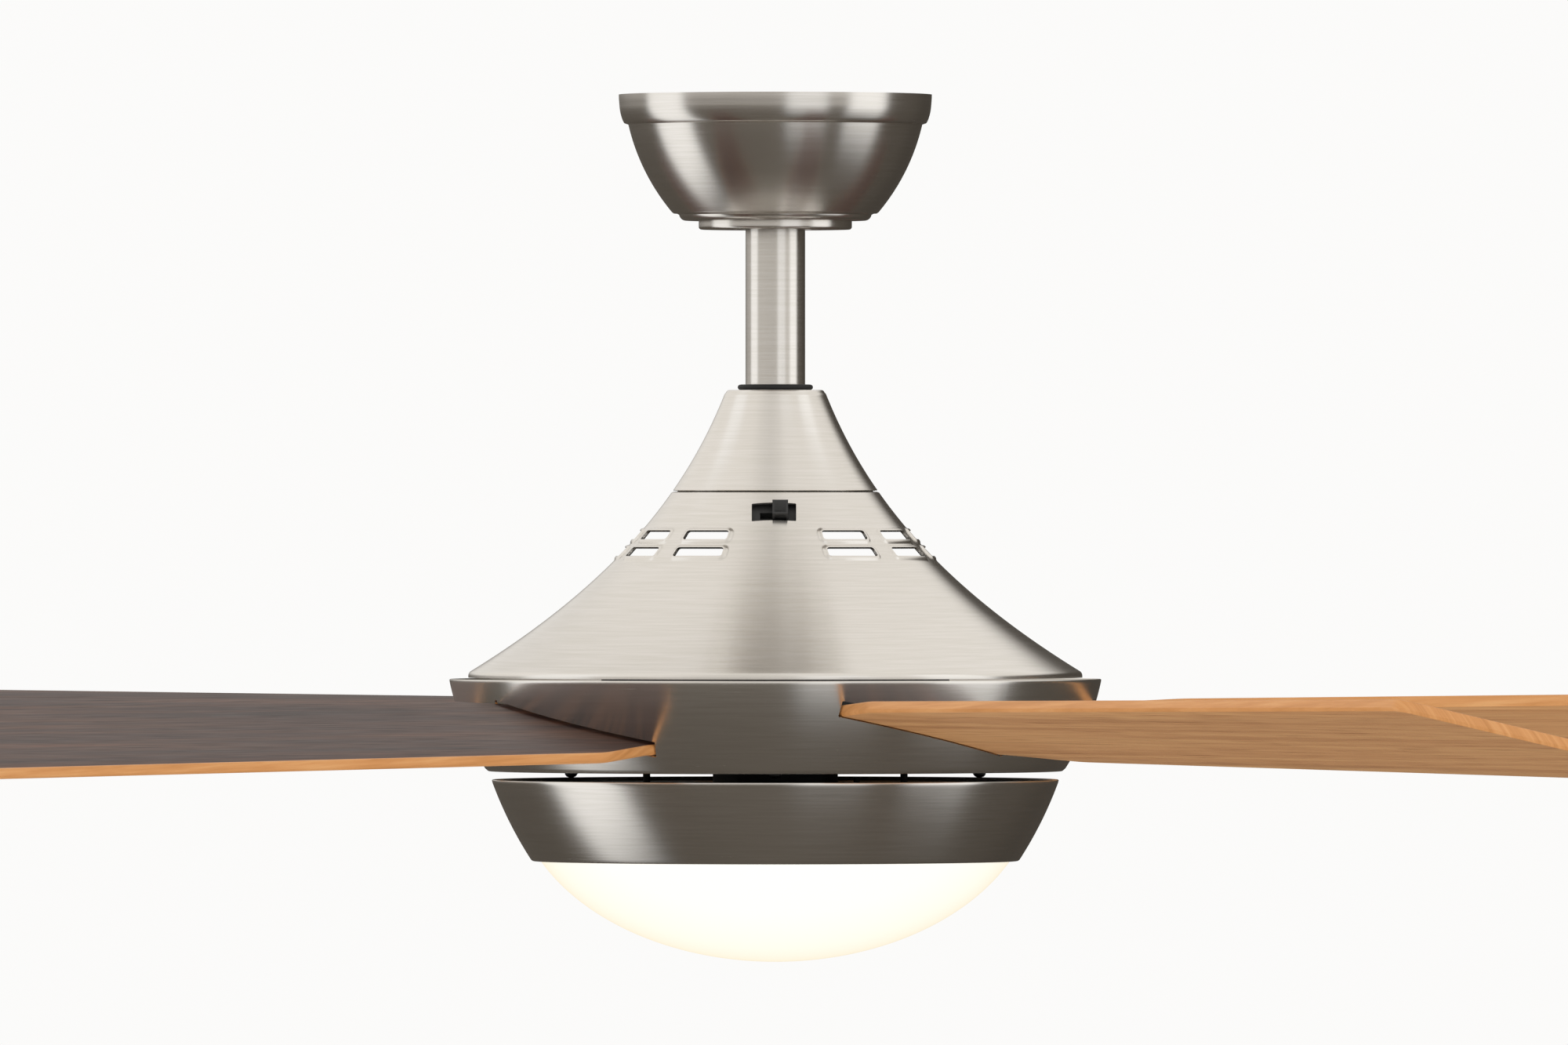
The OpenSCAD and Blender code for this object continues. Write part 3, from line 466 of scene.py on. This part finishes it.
def oak_edging():
    """Solid oak edging, a warmer orange than the veneer, with open end grain."""
    material, tree, shader = finish("oak_edging_lacquered", "#dda065", Roughness=0.4, IOR=1.5)
    figure = noise(tree, place_of(tree, (14, 240, 1), uv=True), detail=4, roughness=0.65)
    colour = ramp(tree, figure, [(0.3, tone("#cb8a4c")), (0.5, tone("#dc9a5c")), (0.7, tone("#e8ac6f"))])
    tree.links.new(colour, shader.inputs["Base Color"])
    bump(tree, shader, figure, 0.00008, 0.4)
    return material


def opal_glass():
    """Frosted opal glass over lit lamps, its glow painted as emission that stands in for the lamps' light
    through the glass:
    white and even face on, painted warmer and dimmer where it is seen edge on."""
    material, tree, shader = finish("opal_glass_painted_glow", "#6e6a62", Roughness=0.3, IOR=1.52)
    shader.inputs["Specular IOR Level"].default_value = 0.3
    # Painted light: the glow is emission standing in for lamp light through the glass, and Layer Weight tints
    # it warmer and dimmer towards the edge seen side on
    facing = add(tree, "ShaderNodeLayerWeight", values={"Blend": 0.42}).outputs["Facing"]
    painted_glow_warm_edge = [
        (0.0, tone("#fffffc")),
        (0.4, tone("#fffef8")),
        (0.66, tone("#fffaec")),
        (0.9, tone("#fbf1da")),
        (1.0, tone("#f4e3c2")),
    ]
    glow = ramp(tree, facing, painted_glow_warm_edge)
    cloud = noise(tree, place_of(tree, (18, 18, 18)), detail=2)
    tree.links.new(glow, shader.inputs["Emission Color"])
    shader.inputs["Emission Strength"].default_value = 0.93
    tree.links.new(spread_to(tree, cloud, 0.27, 0.34), shader.inputs["Roughness"])
    bump(tree, shader, noise(tree, place_of(tree, (2600, 2600, 2600)), detail=1), 0.00001, 0.3)
    return material


def lamp_glass():
    """Frosted lamp glass, lit: a warm even glow."""
    material, tree, shader = finish("lamp_glass_frosted", "#fff6e6", Roughness=0.35, IOR=1.5)
    shader.inputs["Emission Strength"].default_value = 1.4
    cloud = noise(tree, place_of(tree, (40, 40, 40)))
    glow = ramp(tree, cloud, [(0.3, tone("#ffeccb")), (0.7, tone("#fff3dc"))])
    tree.links.new(glow, shader.inputs["Emission Color"])
    return material


def mottled(name, dark, light, size, depth, stretch=(1, 1, 1), rough=(0.3, 0.5), **sockets):
    """A finish with two close tones in patches of the given size in millimetres and a bump of that depth."""
    material, tree, shader = finish(name, light, **sockets)
    scale = tuple(s * 1000 / size for s in stretch)
    patches = noise(tree, place_of(tree, scale))
    tree.links.new(ramp(tree, patches, [(0.3, tone(dark)), (0.7, tone(light))]), shader.inputs["Base Color"])
    tree.links.new(spread_to(tree, patches, *rough), shader.inputs["Roughness"])
    bump(tree, shader, patches, depth * MM, 0.6)
    return material


nickel = turned_nickel()
walnut = walnut_veneer()
oak = oak_veneer()
edging = oak_edging()
opal = opal_glass()
# Black powder coat: a fine orange-peel that keeps a dull sheen
black_coat = mottled("black_powder_coat", "#0b0b0b", "#161616", 0.5, 0.02, rough=(0.42, 0.58))
# Moulded black ABS: an even spark texture
black_abs = mottled("abs_moulded_black", "#2a2a2a", "#353535", 0.35, 0.01, rough=(0.42, 0.52))
# Moulded black rubber: soft, slightly dusty
rubber = mottled("rubber_moulded_black", "#151515", "#1f1f1f", 0.8, 0.02, rough=(0.6, 0.75))
# Bright zinc plate on pressed steel: pale spangles
zinc = mottled("steel_zinc_plated", "#a9acb1", "#c4c6c9", 6.0, 0.004, rough=(0.28, 0.42), Metallic=1.0)
# Plain turned steel: thin tool rings along the axis
steel = mottled(
    "steel_turned_bright", "#b0b1b4", "#c6c7c9", 2.0, 0.004, stretch=(1, 1, 9), rough=(0.2, 0.32), Metallic=1.0
)
# Green lacquer on the earth screw
green = mottled("green_lacquer_on_steel", "#1c5a30", "#277040", 1.5, 0.003, rough=(0.3, 0.4))
# Stacked electrical steel: thin laminations along the axis
laminated = mottled(
    "electrical_steel_stacked", "#3c3c3f", "#636367", 4.0, 0.02, stretch=(0.2, 0.2, 8), Metallic=1.0
)
# Enamelled copper wire, wound in fine turns
copper = mottled(
    "copper_wire_enamelled",
    "#8f4a20",
    "#c3763c",
    5.0,
    0.08,
    stretch=(0.3, 0.3, 8),
    rough=(0.25, 0.4),
    Metallic=1.0,
)
# Die-cast aluminium: matt grey skin with a faint flow grain
cast = mottled("aluminium_die_cast", "#8d9094", "#a8aaad", 3.0, 0.03, rough=(0.45, 0.6), Metallic=1.0)
# Moulded white ABS
white_abs = mottled("abs_moulded_white", "#dcdcd6", "#e8e8e3", 0.4, 0.01, rough=(0.4, 0.5))
# Glazed porcelain
porcelain = mottled("porcelain_glazed_white", "#ece9e1", "#f5f3ed", 8.0, 0.01, rough=(0.12, 0.2))

FINISH_OF_SLOT = {
    "satin_nickel": nickel,
    "zinc_steel": zinc,
    "bright_steel": steel,
    "green_steel": green,
    "black_steel": black_coat,
    "lamination_steel": laminated,
    "copper": copper,
    "cast_aluminium": cast,
    "blade_wood": walnut,
    "black_plastic": black_abs,
    "white_plastic": white_abs,
    "black_rubber": rubber,
    "white_ceramic": porcelain,
    "lamp_glow": lamp_glass(),
    "opal_glass": opal,
}
for entry in frame["record"]["subparts"]:
    node = frame["nodes"][entry["node"]]
    node.data.materials.clear()
    node.data.materials.append(FINISH_OF_SLOT[entry["material_slot"]])


# ---------------------------------------------------------------- hanging pieces


def canopy_line():
    """The canopy's outside from the ceiling down: a rim with a rounded foot, a groove, the bowl, and a
    stepped foot."""
    foot_r = 46.2
    return np.concatenate(
        [
            [[canopy_r, -0.05], [canopy_r - 0.05, -2]],
            bow([canopy_r - 0.3, -5], [canopy_r - 1.8, -11.7], 22, 14),
            fillet([canopy_r - 1.8, -11.7], [canopy_r - 2.5, -13.0], [canopy_r - 4.2, -13.1], 0.8, 6),
            bow([canopy_r - 4.3, -13.5], [foot_r, z_foot + 3.7], 93.9, 60),
            arc([foot_r - 0.9, z_foot + 3.9], 0.7, -20, -80, 4),
            [[foot_r - 2.2, z_foot + 3.1]],
            arc([foot_r - 6.2, z_foot + 3.1], 3.1, -10, -90, 10),
            [[ROD_HOLE_R, z_foot]],
        ]
    )


canopy_section = sheet_loop(spread(canopy_line(), 2.0), SHEET)
make("canopy_shell", *lathe(canopy_section), "ceiling_mount", "satin_nickel", nickel, ["canopy"])

trim_foot = arc([trim_r - 1.3, z_trim + 1.3], 1.3, 0, -90, 10)
trim_line = np.concatenate([[[trim_r, z_foot - 0.05]], trim_foot, [[ROD_HOLE_R, z_trim]]])
trim_section = sheet_loop(spread(trim_line, 1.5), SHEET)
make("trim_cup", *lathe(trim_section), "ceiling_mount", "satin_nickel", nickel, ["trim_ring"])

rod_bore = rod_r - 2.9
rod_section = np.array([[rod_r, rod_top], [rod_r, rod_end], [rod_bore, rod_end], [rod_bore, rod_top]])
rod_section = np.concatenate([spread(rod_section[:2], 6), spread(rod_section[2:], 6)])
make("rod_tube", *lathe(rod_section, 160), "fan_body", "satin_nickel", nickel, ["downrod"])

collar_section = np.concatenate(
    [
        [[rod_r + 0.05, z_collar], [rod_r + 2.0, z_collar]],
        arc([collar_r - 1.2, (z_collar + collar_low) / 2], 1.2, 75, -75, 16),
        [[rod_r + 1.5, collar_low], [rod_r + 0.05, collar_low]],
    ]
)
make("rod_bush", *lathe(collar_section, 160), "fan_body", "black_rubber", rubber, ["rod_collar"])

cover_line = np.concatenate(
    [
        [[rod_r + 0.6, z_cover]],
        arc([COVER_TOP_R - 1.4, z_cover - 1.5], 1.5, 90, 18, 12),
        flare_line(np.linspace(1.8, cover_h - 0.25, 50)),
        [[flare(cover_h) - 0.35, z_cover - cover_h]],
    ]
)
cover_section = sheet_loop(cover_line, SHEET)
make("cover_cone", *lathe(cover_section), "fan_body", "satin_nickel", nickel, ["coupling_cover"])

# ---------------------------------------------------------------- motor housing with vents and switch window

# A distance that stands for no edge near, in millimetres
NO_EDGE = 50.0
VENT_ROWS = [cover_h + 18.3, cover_h + 25.8]
SWITCH_X, SWITCH_DEPTH = -0.6, cover_h + 9.4
switch_tilt = math.atan(flare_slope(SWITCH_DEPTH))
switch_at = np.array([SWITCH_X, -flare(SWITCH_DEPTH), z_cover - SWITCH_DEPTH])
switch_up = np.array([0, math.sin(switch_tilt), math.cos(switch_tilt)])
switch_out = np.array([0, -math.cos(switch_tilt), math.sin(switch_tilt)])


def rounded_gap(x, y, half_x, half_y, r):
    """Distance to the edge of a rectangle with corners of radius r, negative inside."""
    qx, qy = np.abs(x) - half_x + r, np.abs(y) - half_y + r
    return np.hypot(np.maximum(qx, 0), np.maximum(qy, 0)) + np.minimum(np.maximum(qx, qy), 0) - r


def vent_gap(p):
    """Distance to the nearest vent: a rectangle in arc length and slope length, one every 30 degrees but
    at the front."""
    r = np.hypot(p[..., 0], p[..., 1])
    turn = np.degrees(np.arctan2(p[..., 1], p[..., 0])) + 90
    place = np.round(turn / 30)
    x = np.radians(turn - 30 * place) * r
    half_x = math.radians(VENT_SPAN / 2) * r
    best = np.full(r.shape, NO_EDGE)
    for depth in VENT_ROWS:
        stretch = math.hypot(1, flare_slope(depth + VENT_H / 2))
        y = (p[..., 2] - (z_cover - depth - VENT_H / 2)) * stretch
        best = np.minimum(best, rounded_gap(x, y, half_x, VENT_H / 2 * stretch, VENT_ROUND))
    return np.where(place % 12 == 0, NO_EDGE, best)


def housing_gap(p):
    """Distance to the nearest vent or to the switch window, which is cut square to the slope."""
    d = p - switch_at
    window = rounded_gap(d[..., 0], d @ switch_up, WINDOW_W / 2, WINDOW_H / 2, 0.35)
    return np.minimum(vent_gap(p), np.where(p[..., 1] < 0, window, NO_EDGE))


def vent_rise(gap):
    """The sheet is pressed out by 0.8 mm round each vent and falls back smoothly between 0.8 and 2.2 mm."""
    t = np.clip((gap - 0.8) / 1.4, 0, 1)
    return 0.8 * (1 - t * t * (3 - 2 * t))


period = steps([(-17, -13, 1.3), (-13, -9, 0.5), (-9, 9, 1.5), (9, 13, 0.5)])
housing_angles = np.concatenate([period + 30 * i for i in range(12)])
top = cover_h + SEAM
depths = np.concatenate(
    [
        steps([(top + 0.4, top + 3.6, 0.8), (top + 3.6, top + 14.6, 0.5), (top + 14.6, top + 32.5, 0.48)]),
        steps([(top + 32.5, FLARE_DEPTH, 1.35)]),
        [FLARE_DEPTH],
    ]
)
lip_tilt = math.atan(flare_slope(FLARE_DEPTH))
lip_centre = flare_line([FLARE_DEPTH])[0] - LIP_R * np.array([math.cos(lip_tilt), math.sin(lip_tilt)])
housing_line = np.concatenate(
    [
        [[HOUSING_HOLE_R, z_cone + 0.4], [30, z_cone + 0.4], [flare(top) - 2.6, z_cone + 0.4]],
        [[flare(top) - 2.2, z_cone - 0.02], [flare(top) - 0.7, z_cone - 0.02]],
        flare_line(depths),
        arc(lip_centre, LIP_R, math.degrees(lip_tilt), 0, 8)[1:],
        [[lip_centre[0] + LIP_R, z_lip]],
    ]
)


def housing_front(p):
    """The same distance, with no holes in the top plate."""
    return np.where(p[..., 2] > z_cone - 0.5, NO_EDGE, housing_gap(p))


points, faces = cut_sheet(housing_angles, housing_line, SHEET, housing_front)


def press_out(p):
    """Moves each point out along the slope by vent_rise of its distance to the nearest vent."""
    depth = np.clip(z_cover - p[:, 2], 1, FLARE_DEPTH)
    tilt = np.arctan(flare_slope(depth))
    a = np.arctan2(p[:, 1], p[:, 0])
    out = np.stack([np.cos(tilt) * np.cos(a), np.cos(tilt) * np.sin(a), np.sin(tilt)], 1)
    return p + out * vent_rise(np.maximum(vent_gap(p), 0))[:, None]


make("housing_cone", press_out(points), faces, "fan_body", "satin_nickel", nickel, ["motor_housing"], bend=32)


def on_slope(points, x, z):
    """Block points turned to the housing's slope: across, up the slope, and out of it, at x along and
    z out."""
    axes = np.stack([np.array([1, 0, 0]), switch_up, switch_out])
    return switch_at + np.array([x, 0, 0]) + (points + [0, 0, z]) @ axes


knob_points, knob_faces = rounded_block([7.0, 7.8, 5.6], 0.9)
knob_points = on_slope(knob_points, 2.8, 0.8)
make("switch_cap", knob_points, knob_faces, "reverse_knob", "black_plastic", black_abs, bend=50)

# ---------------------------------------------------------------- blades

FLARE_FROM, FLARE_TO = band_r - 17, band_r + 29


def blade_edge(side, n=14):
    """One side of the blade in its own plane, from root to tip, with a fillet at each corner."""
    offset = BLADE_OFFSET
    root = [BLADE_IN, side * ROOT_W / 2]
    neck = [FLARE_FROM, side * ROOT_W / 2]
    shoulder = [FLARE_TO, offset + side * SHOULDER_W / 2]
    tip = [TIP_U, offset + side * TIP_W / 2]
    far = [TIP_U, offset]
    to_neck = np.linspace(0, 1, 9)[:-1, None]
    first = fillet(root, neck, shoulder, 40, n)
    second = fillet(neck, shoulder, tip, 40, n)
    last = fillet(shoulder, tip, far, 7, n)
    to_tip = np.linspace(0, 1, 26)[1:-1, None]
    inner_run = root + (first[0] - root) * to_neck
    outer_run = second[-1] + (last[0] - second[-1]) * to_tip
    return np.concatenate([inner_run, first, second, outer_run, last])


def sideways(line, side):
    """Unit normals of an edge line, pointing out of the blade."""
    d = np.gradient(line, axis=0)
    d /= np.linalg.norm(d, axis=1)[:, None]
    return np.stack([-d[:, 1], d[:, 0]], 1) * side


# How the edge is worked, as (inset, height): a small round above, a flat, and a wider chamfer below
EDGE = np.array(
    [[0.9, 2.5], [0.35, 2.36], [0.08, 2.0], [0.0, 1.5], [0.0, -1.1], [0.35, -1.75], [1.0, -2.3], [1.5, -2.5]]
)


def blade_mesh(seed):
    """A loft: each ring of the blade joins a point on its low edge to one on its high edge, through the
    worked edges and the two flat faces. Faces of kind 0 are the top, 1 the underside, and 2 the edging."""
    lines = {s: blade_edge(s) for s in (1, -1)}
    out = {s: sideways(lines[s], s) for s in (1, -1)}
    across = 8
    ring = []
    for s in (1, -1):
        for t, h in EDGE if s == 1 else EDGE[::-1]:
            p = lines[s] - out[s] * t
            ring.append(np.column_stack([p, np.full(len(p), h)]))
        foot = EDGE[-1] if s == 1 else EDGE[0]
        start = lines[s] - out[s] * foot[0]
        end = lines[-s] - out[-s] * foot[0]
        for share in np.arange(1, across) / across:
            ring.append(np.column_stack([start + (end - start) * share, np.full(len(start), foot[1])]))
    rings = np.stack(ring, 1)
    n, m = rings.shape[:2]
    index = np.arange(n * m).reshape(n, m)
    nxt = np.roll(index, -1, 1)
    quads = np.stack([index[:-1], index[1:], nxt[1:], nxt[:-1]], 2).reshape(-1, 4)
    e = len(EDGE)
    kind = np.full(m, 2)
    kind[e - 1 : e + across - 1] = 1
    kind[2 * e + across - 2 :] = 0
    kinds = np.tile(kind, n - 1)
    root_cap = index[0][::-1]
    low_side, high_side = index[-1][:e], index[-1][e + across - 1 : 2 * e + across - 1][::-1]
    tip = np.stack([low_side[:-1], high_side[:-1], high_side[1:], low_side[1:]], 1)
    faces = quads.tolist() + tip.tolist() + [root_cap.tolist()]
    kinds = np.concatenate([kinds, np.full(len(tip), 2), [2]])
    flat = rings.reshape(-1, 3)
    uv = np.column_stack([flat[:, 0] * MM + 1.7 * seed, (flat[:, 1] + flat[:, 2] * 1.2) * MM + 0.31 * seed])
    return flat, faces, kinds, uv


def in_blade_place(points, i):
    """Blade points pitched about the blade's own axis, lifted to the hub's pads and turned to blade i."""
    p, a = math.radians(-PITCH), math.radians(FIRST_BLADE + (i - 1) * 360 / BLADES)
    y = points[:, 1] * math.cos(p) - points[:, 2] * math.sin(p)
    z = points[:, 1] * math.sin(p) + points[:, 2] * math.cos(p) + Z_BLADE
    x = points[:, 0]
    return np.stack([x * math.cos(a) - y * math.sin(a), x * math.sin(a) + y * math.cos(a), z], 1)


for i in range(1, BLADES + 1):
    points, faces, kinds, uv = blade_mesh(i)
    make(
        f"blade_board_{i}",
        in_blade_place(points, i),
        faces,
        "rotor",
        "blade_wood",
        [walnut, oak, edging],
        [f"blade_{i}"],
        bend=28,
        face_finish=kinds,
        uv=uv,
    )

# ---------------------------------------------------------------- band and light pan

low_edge, high_edge = blade_edge(1), blade_edge(-1)


def slot_gap(p):
    """Distance to the edge of the nearest blade slot: the blade's outline grown by 0.9 mm sideways,
    0.6 mm below and 1.5 mm above."""
    turn = 360 / BLADES
    a = np.degrees(np.arctan2(p[..., 1], p[..., 0])) - FIRST_BLADE
    a = np.radians(a - turn * np.round(a / turn))
    r = np.hypot(p[..., 0], p[..., 1])
    u, y, z = r * np.cos(a), r * np.sin(a), p[..., 2] - Z_BLADE
    s = math.radians(PITCH)
    v, w = y * math.cos(s) - z * math.sin(s), y * math.sin(s) + z * math.cos(s)
    over_low = v - np.interp(u, low_edge[:60, 0], low_edge[:60, 1]) - 0.9
    over_high = np.interp(u, high_edge[:60, 0], high_edge[:60, 1]) - v - 0.9
    level = np.abs(w - 0.45) - (BLADE_T / 2 + 1.05)
    return np.maximum(level, np.maximum(over_low, over_high))


band_line = np.concatenate(
    [
        arc([band_r - 0.55, z_band - 0.55], 0.55, 80, 15, 5),
        bow([band_r, z_band - 0.7], [band_foot_r, z_floor + 1.3], 117.6, 64)[1:],
        arc([band_foot_r - 2, z_floor + 1.5], 1.5, -30, -90, 6)[1:],
        [[110, z_floor], [98, z_floor], [78.9, z_floor]],
    ]
)
band_spans = [(-36, -21.5, 1.6), (-21.5, -15, 0.32), (-15, 15, 1.3), (15, 23.5, 0.32), (23.5, 36, 1.6)]
band_period = steps(band_spans) + FIRST_BLADE
band_angles = np.concatenate([band_period + 72 * i for i in range(BLADES)])


def band_gap(p):
    """The same distance, with no slots in the band's floor."""
    return np.where(p[..., 2] < z_floor + 1.4, NO_EDGE, slot_gap(p))


band_mesh = cut_sheet(band_angles, band_line, SHEET, band_gap)
make("band_shell", *band_mesh, "rotor", "satin_nickel", nickel, ["band"], bend=40)


def notch_gap(p):
    """Distance to the nearest of three notches that let the bowl's lugs through."""
    r = np.hypot(p[..., 0], p[..., 1])
    a = np.degrees(np.arctan2(p[..., 1], p[..., 0])) - 25
    a = np.radians(a - 120 * np.round(a / 120))
    gap = np.maximum(np.abs(a) * r - math.radians(9) * r, r - (bowl_r + 3.0))
    return np.where(p[..., 2] < z_mouth + 0.5, gap, NO_EDGE)


pan_line = np.concatenate(
    [
        arc([pan_r - 0.55, z_pan - 0.55], 0.55, 80, 15, 5),
        bow([pan_r, z_pan - 0.7], [mouth_r, z_mouth + 1.4], 175, 40)[1:],
        arc([mouth_r - 1.7, z_mouth + 1.4], 1.4, -30, -90, 6)[1:],
        spread(np.array([[bowl_r + 3.1, z_mouth], [bowl_r + 0.8, z_mouth]]), 0.5),
    ]
)
pan_period = steps([(-60, -12, 3), (-12, -6, 0.5), (-6, 6, 1.5), (6, 12, 0.5), (12, 60, 3)]) + 25
pan_angles = np.concatenate([pan_period + 120 * i for i in range(3)])
pan_mesh = cut_sheet(pan_angles, pan_line, SHEET, notch_gap)
make("pan_shell", *pan_mesh, "fan_body", "satin_nickel", nickel, ["light_pan"], bend=40)

# ---------------------------------------------------------------- glass bowl

BOWL_DEPTH, GLASS_T = 80.4, 3.0
bowl_a = bowl_r / math.sqrt(1 - ((BOWL_DEPTH - (z_mouth - z_bowl)) / BOWL_DEPTH) ** 2)
round_r = bowl_r * np.cos(np.radians(np.linspace(0, 90, 73)))
outer = np.stack([round_r, z_bowl + BOWL_DEPTH - BOWL_DEPTH * np.sqrt(1 - (round_r / bowl_a) ** 2)], 1)
neck_out = bowl_r - 0.5
neck_in = neck_out - GLASS_T
round_r = neck_in * np.cos(np.radians(np.linspace(90, 0, 49)))
inside_z = z_bowl + BOWL_DEPTH - (BOWL_DEPTH - GLASS_T) * np.sqrt(1 - (round_r / (bowl_a - GLASS_T)) ** 2)
inside = np.stack([round_r, inside_z], 1)
outer[-1, 0] = inside[0, 0] = 0.0
bowl_neck = [[neck_out, z_glass], [neck_out, z_mouth + 0.6]]
bowl_section = np.concatenate([bowl_neck, outer, inside, [[neck_in, z_glass]]])
make("bowl_glass", *lathe(bowl_section, 240), "bowl", "opal_glass", opal, ["glass_bowl"])

# ---------------------------------------------------------------- studio


def flat_piece(name, corners, colour, glow):
    """A flat stage piece from its corners in metres, with a plain pale surface."""
    mesh = bpy.data.meshes.new(name)
    mesh.from_pydata(corners, [], [list(range(len(corners)))])
    material, _, shader = finish(name + "_paint", colour, Roughness=1.0)
    shader.inputs["Specular IOR Level"].default_value = 0.0
    shader.inputs["Emission Color"].default_value = (1.0, 0.995, 0.985, 1.0)
    shader.inputs["Emission Strength"].default_value = glow
    mesh.materials.append(material)
    piece = bpy.data.objects.new(name, mesh)
    bpy.context.scene.collection.objects.link(piece)
    piece.visible_glossy = False
    return piece


FLOOR_Z, FAR = -1.7, 160.0
floor_corners = [(-FAR, -FAR, FLOOR_Z), (FAR, -FAR, FLOOR_Z), (FAR, FAR, FLOOR_Z), (-FAR, FAR, FLOOR_Z)]
flat_piece("studio_floor", floor_corners, "#d2d2d0", 0.42)

EYE = (0.00388, -10.15, -0.1916)
LENS = 520.6
WALL_Y, WALL_X, WALL_H = 6.0, 1.8, 1.25
wall_low, wall_high = EYE[2] - WALL_H, EYE[2] + WALL_H
wall_corners = [
    (-WALL_X, WALL_Y, wall_low),
    (WALL_X, WALL_Y, wall_low),
    (WALL_X, WALL_Y, wall_high),
    (-WALL_X, WALL_Y, wall_high),
]
wall = flat_piece("studio_wall", wall_corners, "#000000", 0.968)
wall.visible_diffuse = False
wall.visible_shadow = False


def studio_light():
    """Soft light all round: a pale ceiling that ends in a dim horizon, over a dark lower half, with three
    tall soft boxes. Angle is 0 towards the front of the fan and grows towards its right."""
    world = bpy.data.worlds.new("studio_light")
    bpy.context.scene.world = world
    world.use_nodes = True
    tree = world.node_tree
    toward = add(tree, "ShaderNodeTexCoord").outputs["Generated"]
    axes = add(tree, "ShaderNodeSeparateXYZ", {"Vector": toward})

    def math_node(operation, first, second=None, third=None):
        """The result of one Math node on numbers or outputs."""
        node = add(tree, "ShaderNodeMath", settings={"operation": operation})
        for socket, value in zip(node.inputs, (first, second, third)):
            if value is None:
                continue
            if isinstance(value, (int, float)):
                socket.default_value = value
            else:
                tree.links.new(value, socket)
        return node.outputs[0]

    angle = math_node("ARCTAN2", axes.outputs["X"], math_node("MULTIPLY", axes.outputs["Y"], -1.0))
    turn = math_node("MULTIPLY_ADD", angle, 0.5 / math.pi, 0.5)
    height = axes.outputs["Z"]

    def step_up(source, start, end):
        """A smooth step from 0 at start to 1 at end."""
        smooth = {"interpolation_type": "SMOOTHSTEP"}
        node = add(tree, "ShaderNodeMapRange", {"Value": source}, settings=smooth)
        for key, value in (("From Min", start), ("From Max", end)):
            if isinstance(value, (int, float)):
                node.inputs[key].default_value = value
            else:
                tree.links.new(value, node.inputs[key])
        return node.outputs["Result"]

    def round_ramp(values):
        """Grey levels at angles in degrees from -180 to 180."""
        return ramp(tree, turn, [((a + 180) / 360, (v, v, v)) for a, v in values], "EASE")

    # Height of the ceiling's edge plus a half, the light above it and the light below it
    edge_heights = [(-180, 0.70), (-172, 0.56), (-120, 0.51), (-60, 0.46), (-10, 0.41), (60, 0.41)]
    edge_heights += [(85, 0.44), (100, 0.70), (120, 0.82), (140, 0.88), (168, 0.88), (180, 0.72)]
    above_levels = [(-180, 0.80), (-166, 0.76), (-146, 0.88), (-90, 0.90), (-50, 0.88), (-28, 0.78)]
    above_levels += [(-10, 0.74), (5, 0.78), (24, 0.88), (60, 0.88), (130, 0.88), (164, 0.90), (180, 0.80)]
    below_levels = [(-180, 0.075), (-60, 0.095), (0, 0.105), (60, 0.095)]
    below_levels += [(120, 0.075), (150, 0.055), (180, 0.055)]
    edge = math_node("SUBTRACT", round_ramp(edge_heights), 0.5)
    ceiling = step_up(height, math_node("SUBTRACT", edge, 0.10), math_node("ADD", edge, 0.12))
    above = round_ramp(above_levels)
    below = round_ramp(below_levels)

    def tinted(level, colour):
        """The colour times the level."""
        node = add(tree, "ShaderNodeVectorMath", settings={"operation": "SCALE"}, values={0: colour})
        tree.links.new(level, node.inputs["Scale"])
        return node.outputs[0]

    def joined(operation, first, second):
        """The result of one Vector Math node on two outputs."""
        node = add(tree, "ShaderNodeVectorMath", settings={"operation": operation})
        tree.links.new(first, node.inputs[0])
        tree.links.new(second, node.inputs[1])
        return node.outputs[0]

    upper = tinted(math_node("MULTIPLY", above, ceiling), (1.03, 1.0, 0.955))
    lower = tinted(math_node("MULTIPLY", below, math_node("SUBTRACT", 1.0, ceiling)), (1.14, 1.0, 0.84))
    total = joined("ADD", upper, lower)
    # Soft boxes: angle, half width and soft edge in degrees, heights where each starts and is full, and level
    boxes = [
        (-91, 15, 8, -0.95, -0.55, 1.07),
        (74, 13, 9, -0.70, -0.14, 1.15),
        (24, 12, 9, -0.78, -0.03, 1.0),
    ]
    for middle, half, soft, bottom, full, level in boxes:
        rise = [(middle - half - soft, 0), (middle - half, 1)]
        fall = [(middle + half, 1), (middle + half + soft, 0)]
        side = math_node("MULTIPLY", round_ramp(rise + fall), step_up(height, bottom, full))
        fade = math_node("SUBTRACT", 1.0, step_up(height, 0.62, 0.9))
        strength = math_node("MULTIPLY", side, math_node("MULTIPLY", fade, level))
        total = joined("MAXIMUM", total, tinted(strength, (1.0, 0.995, 0.985)))
    background = tree.nodes["Background"]
    tree.links.new(total, background.inputs["Color"])
    background.inputs["Strength"].default_value = 1.0


studio_light()

camera_data = bpy.data.cameras.new("camera")
camera_data.sensor_width = 36.0
camera_data.lens = LENS
camera_data.clip_start, camera_data.clip_end = 0.1, 500.0
camera = bpy.data.objects.new("camera", camera_data)
camera.location = EYE
camera.rotation_euler = (math.radians(90), 0, 0)
bpy.context.scene.collection.objects.link(camera)
bpy.context.scene.camera = camera
bpy.context.scene.view_settings.view_transform = "Standard"
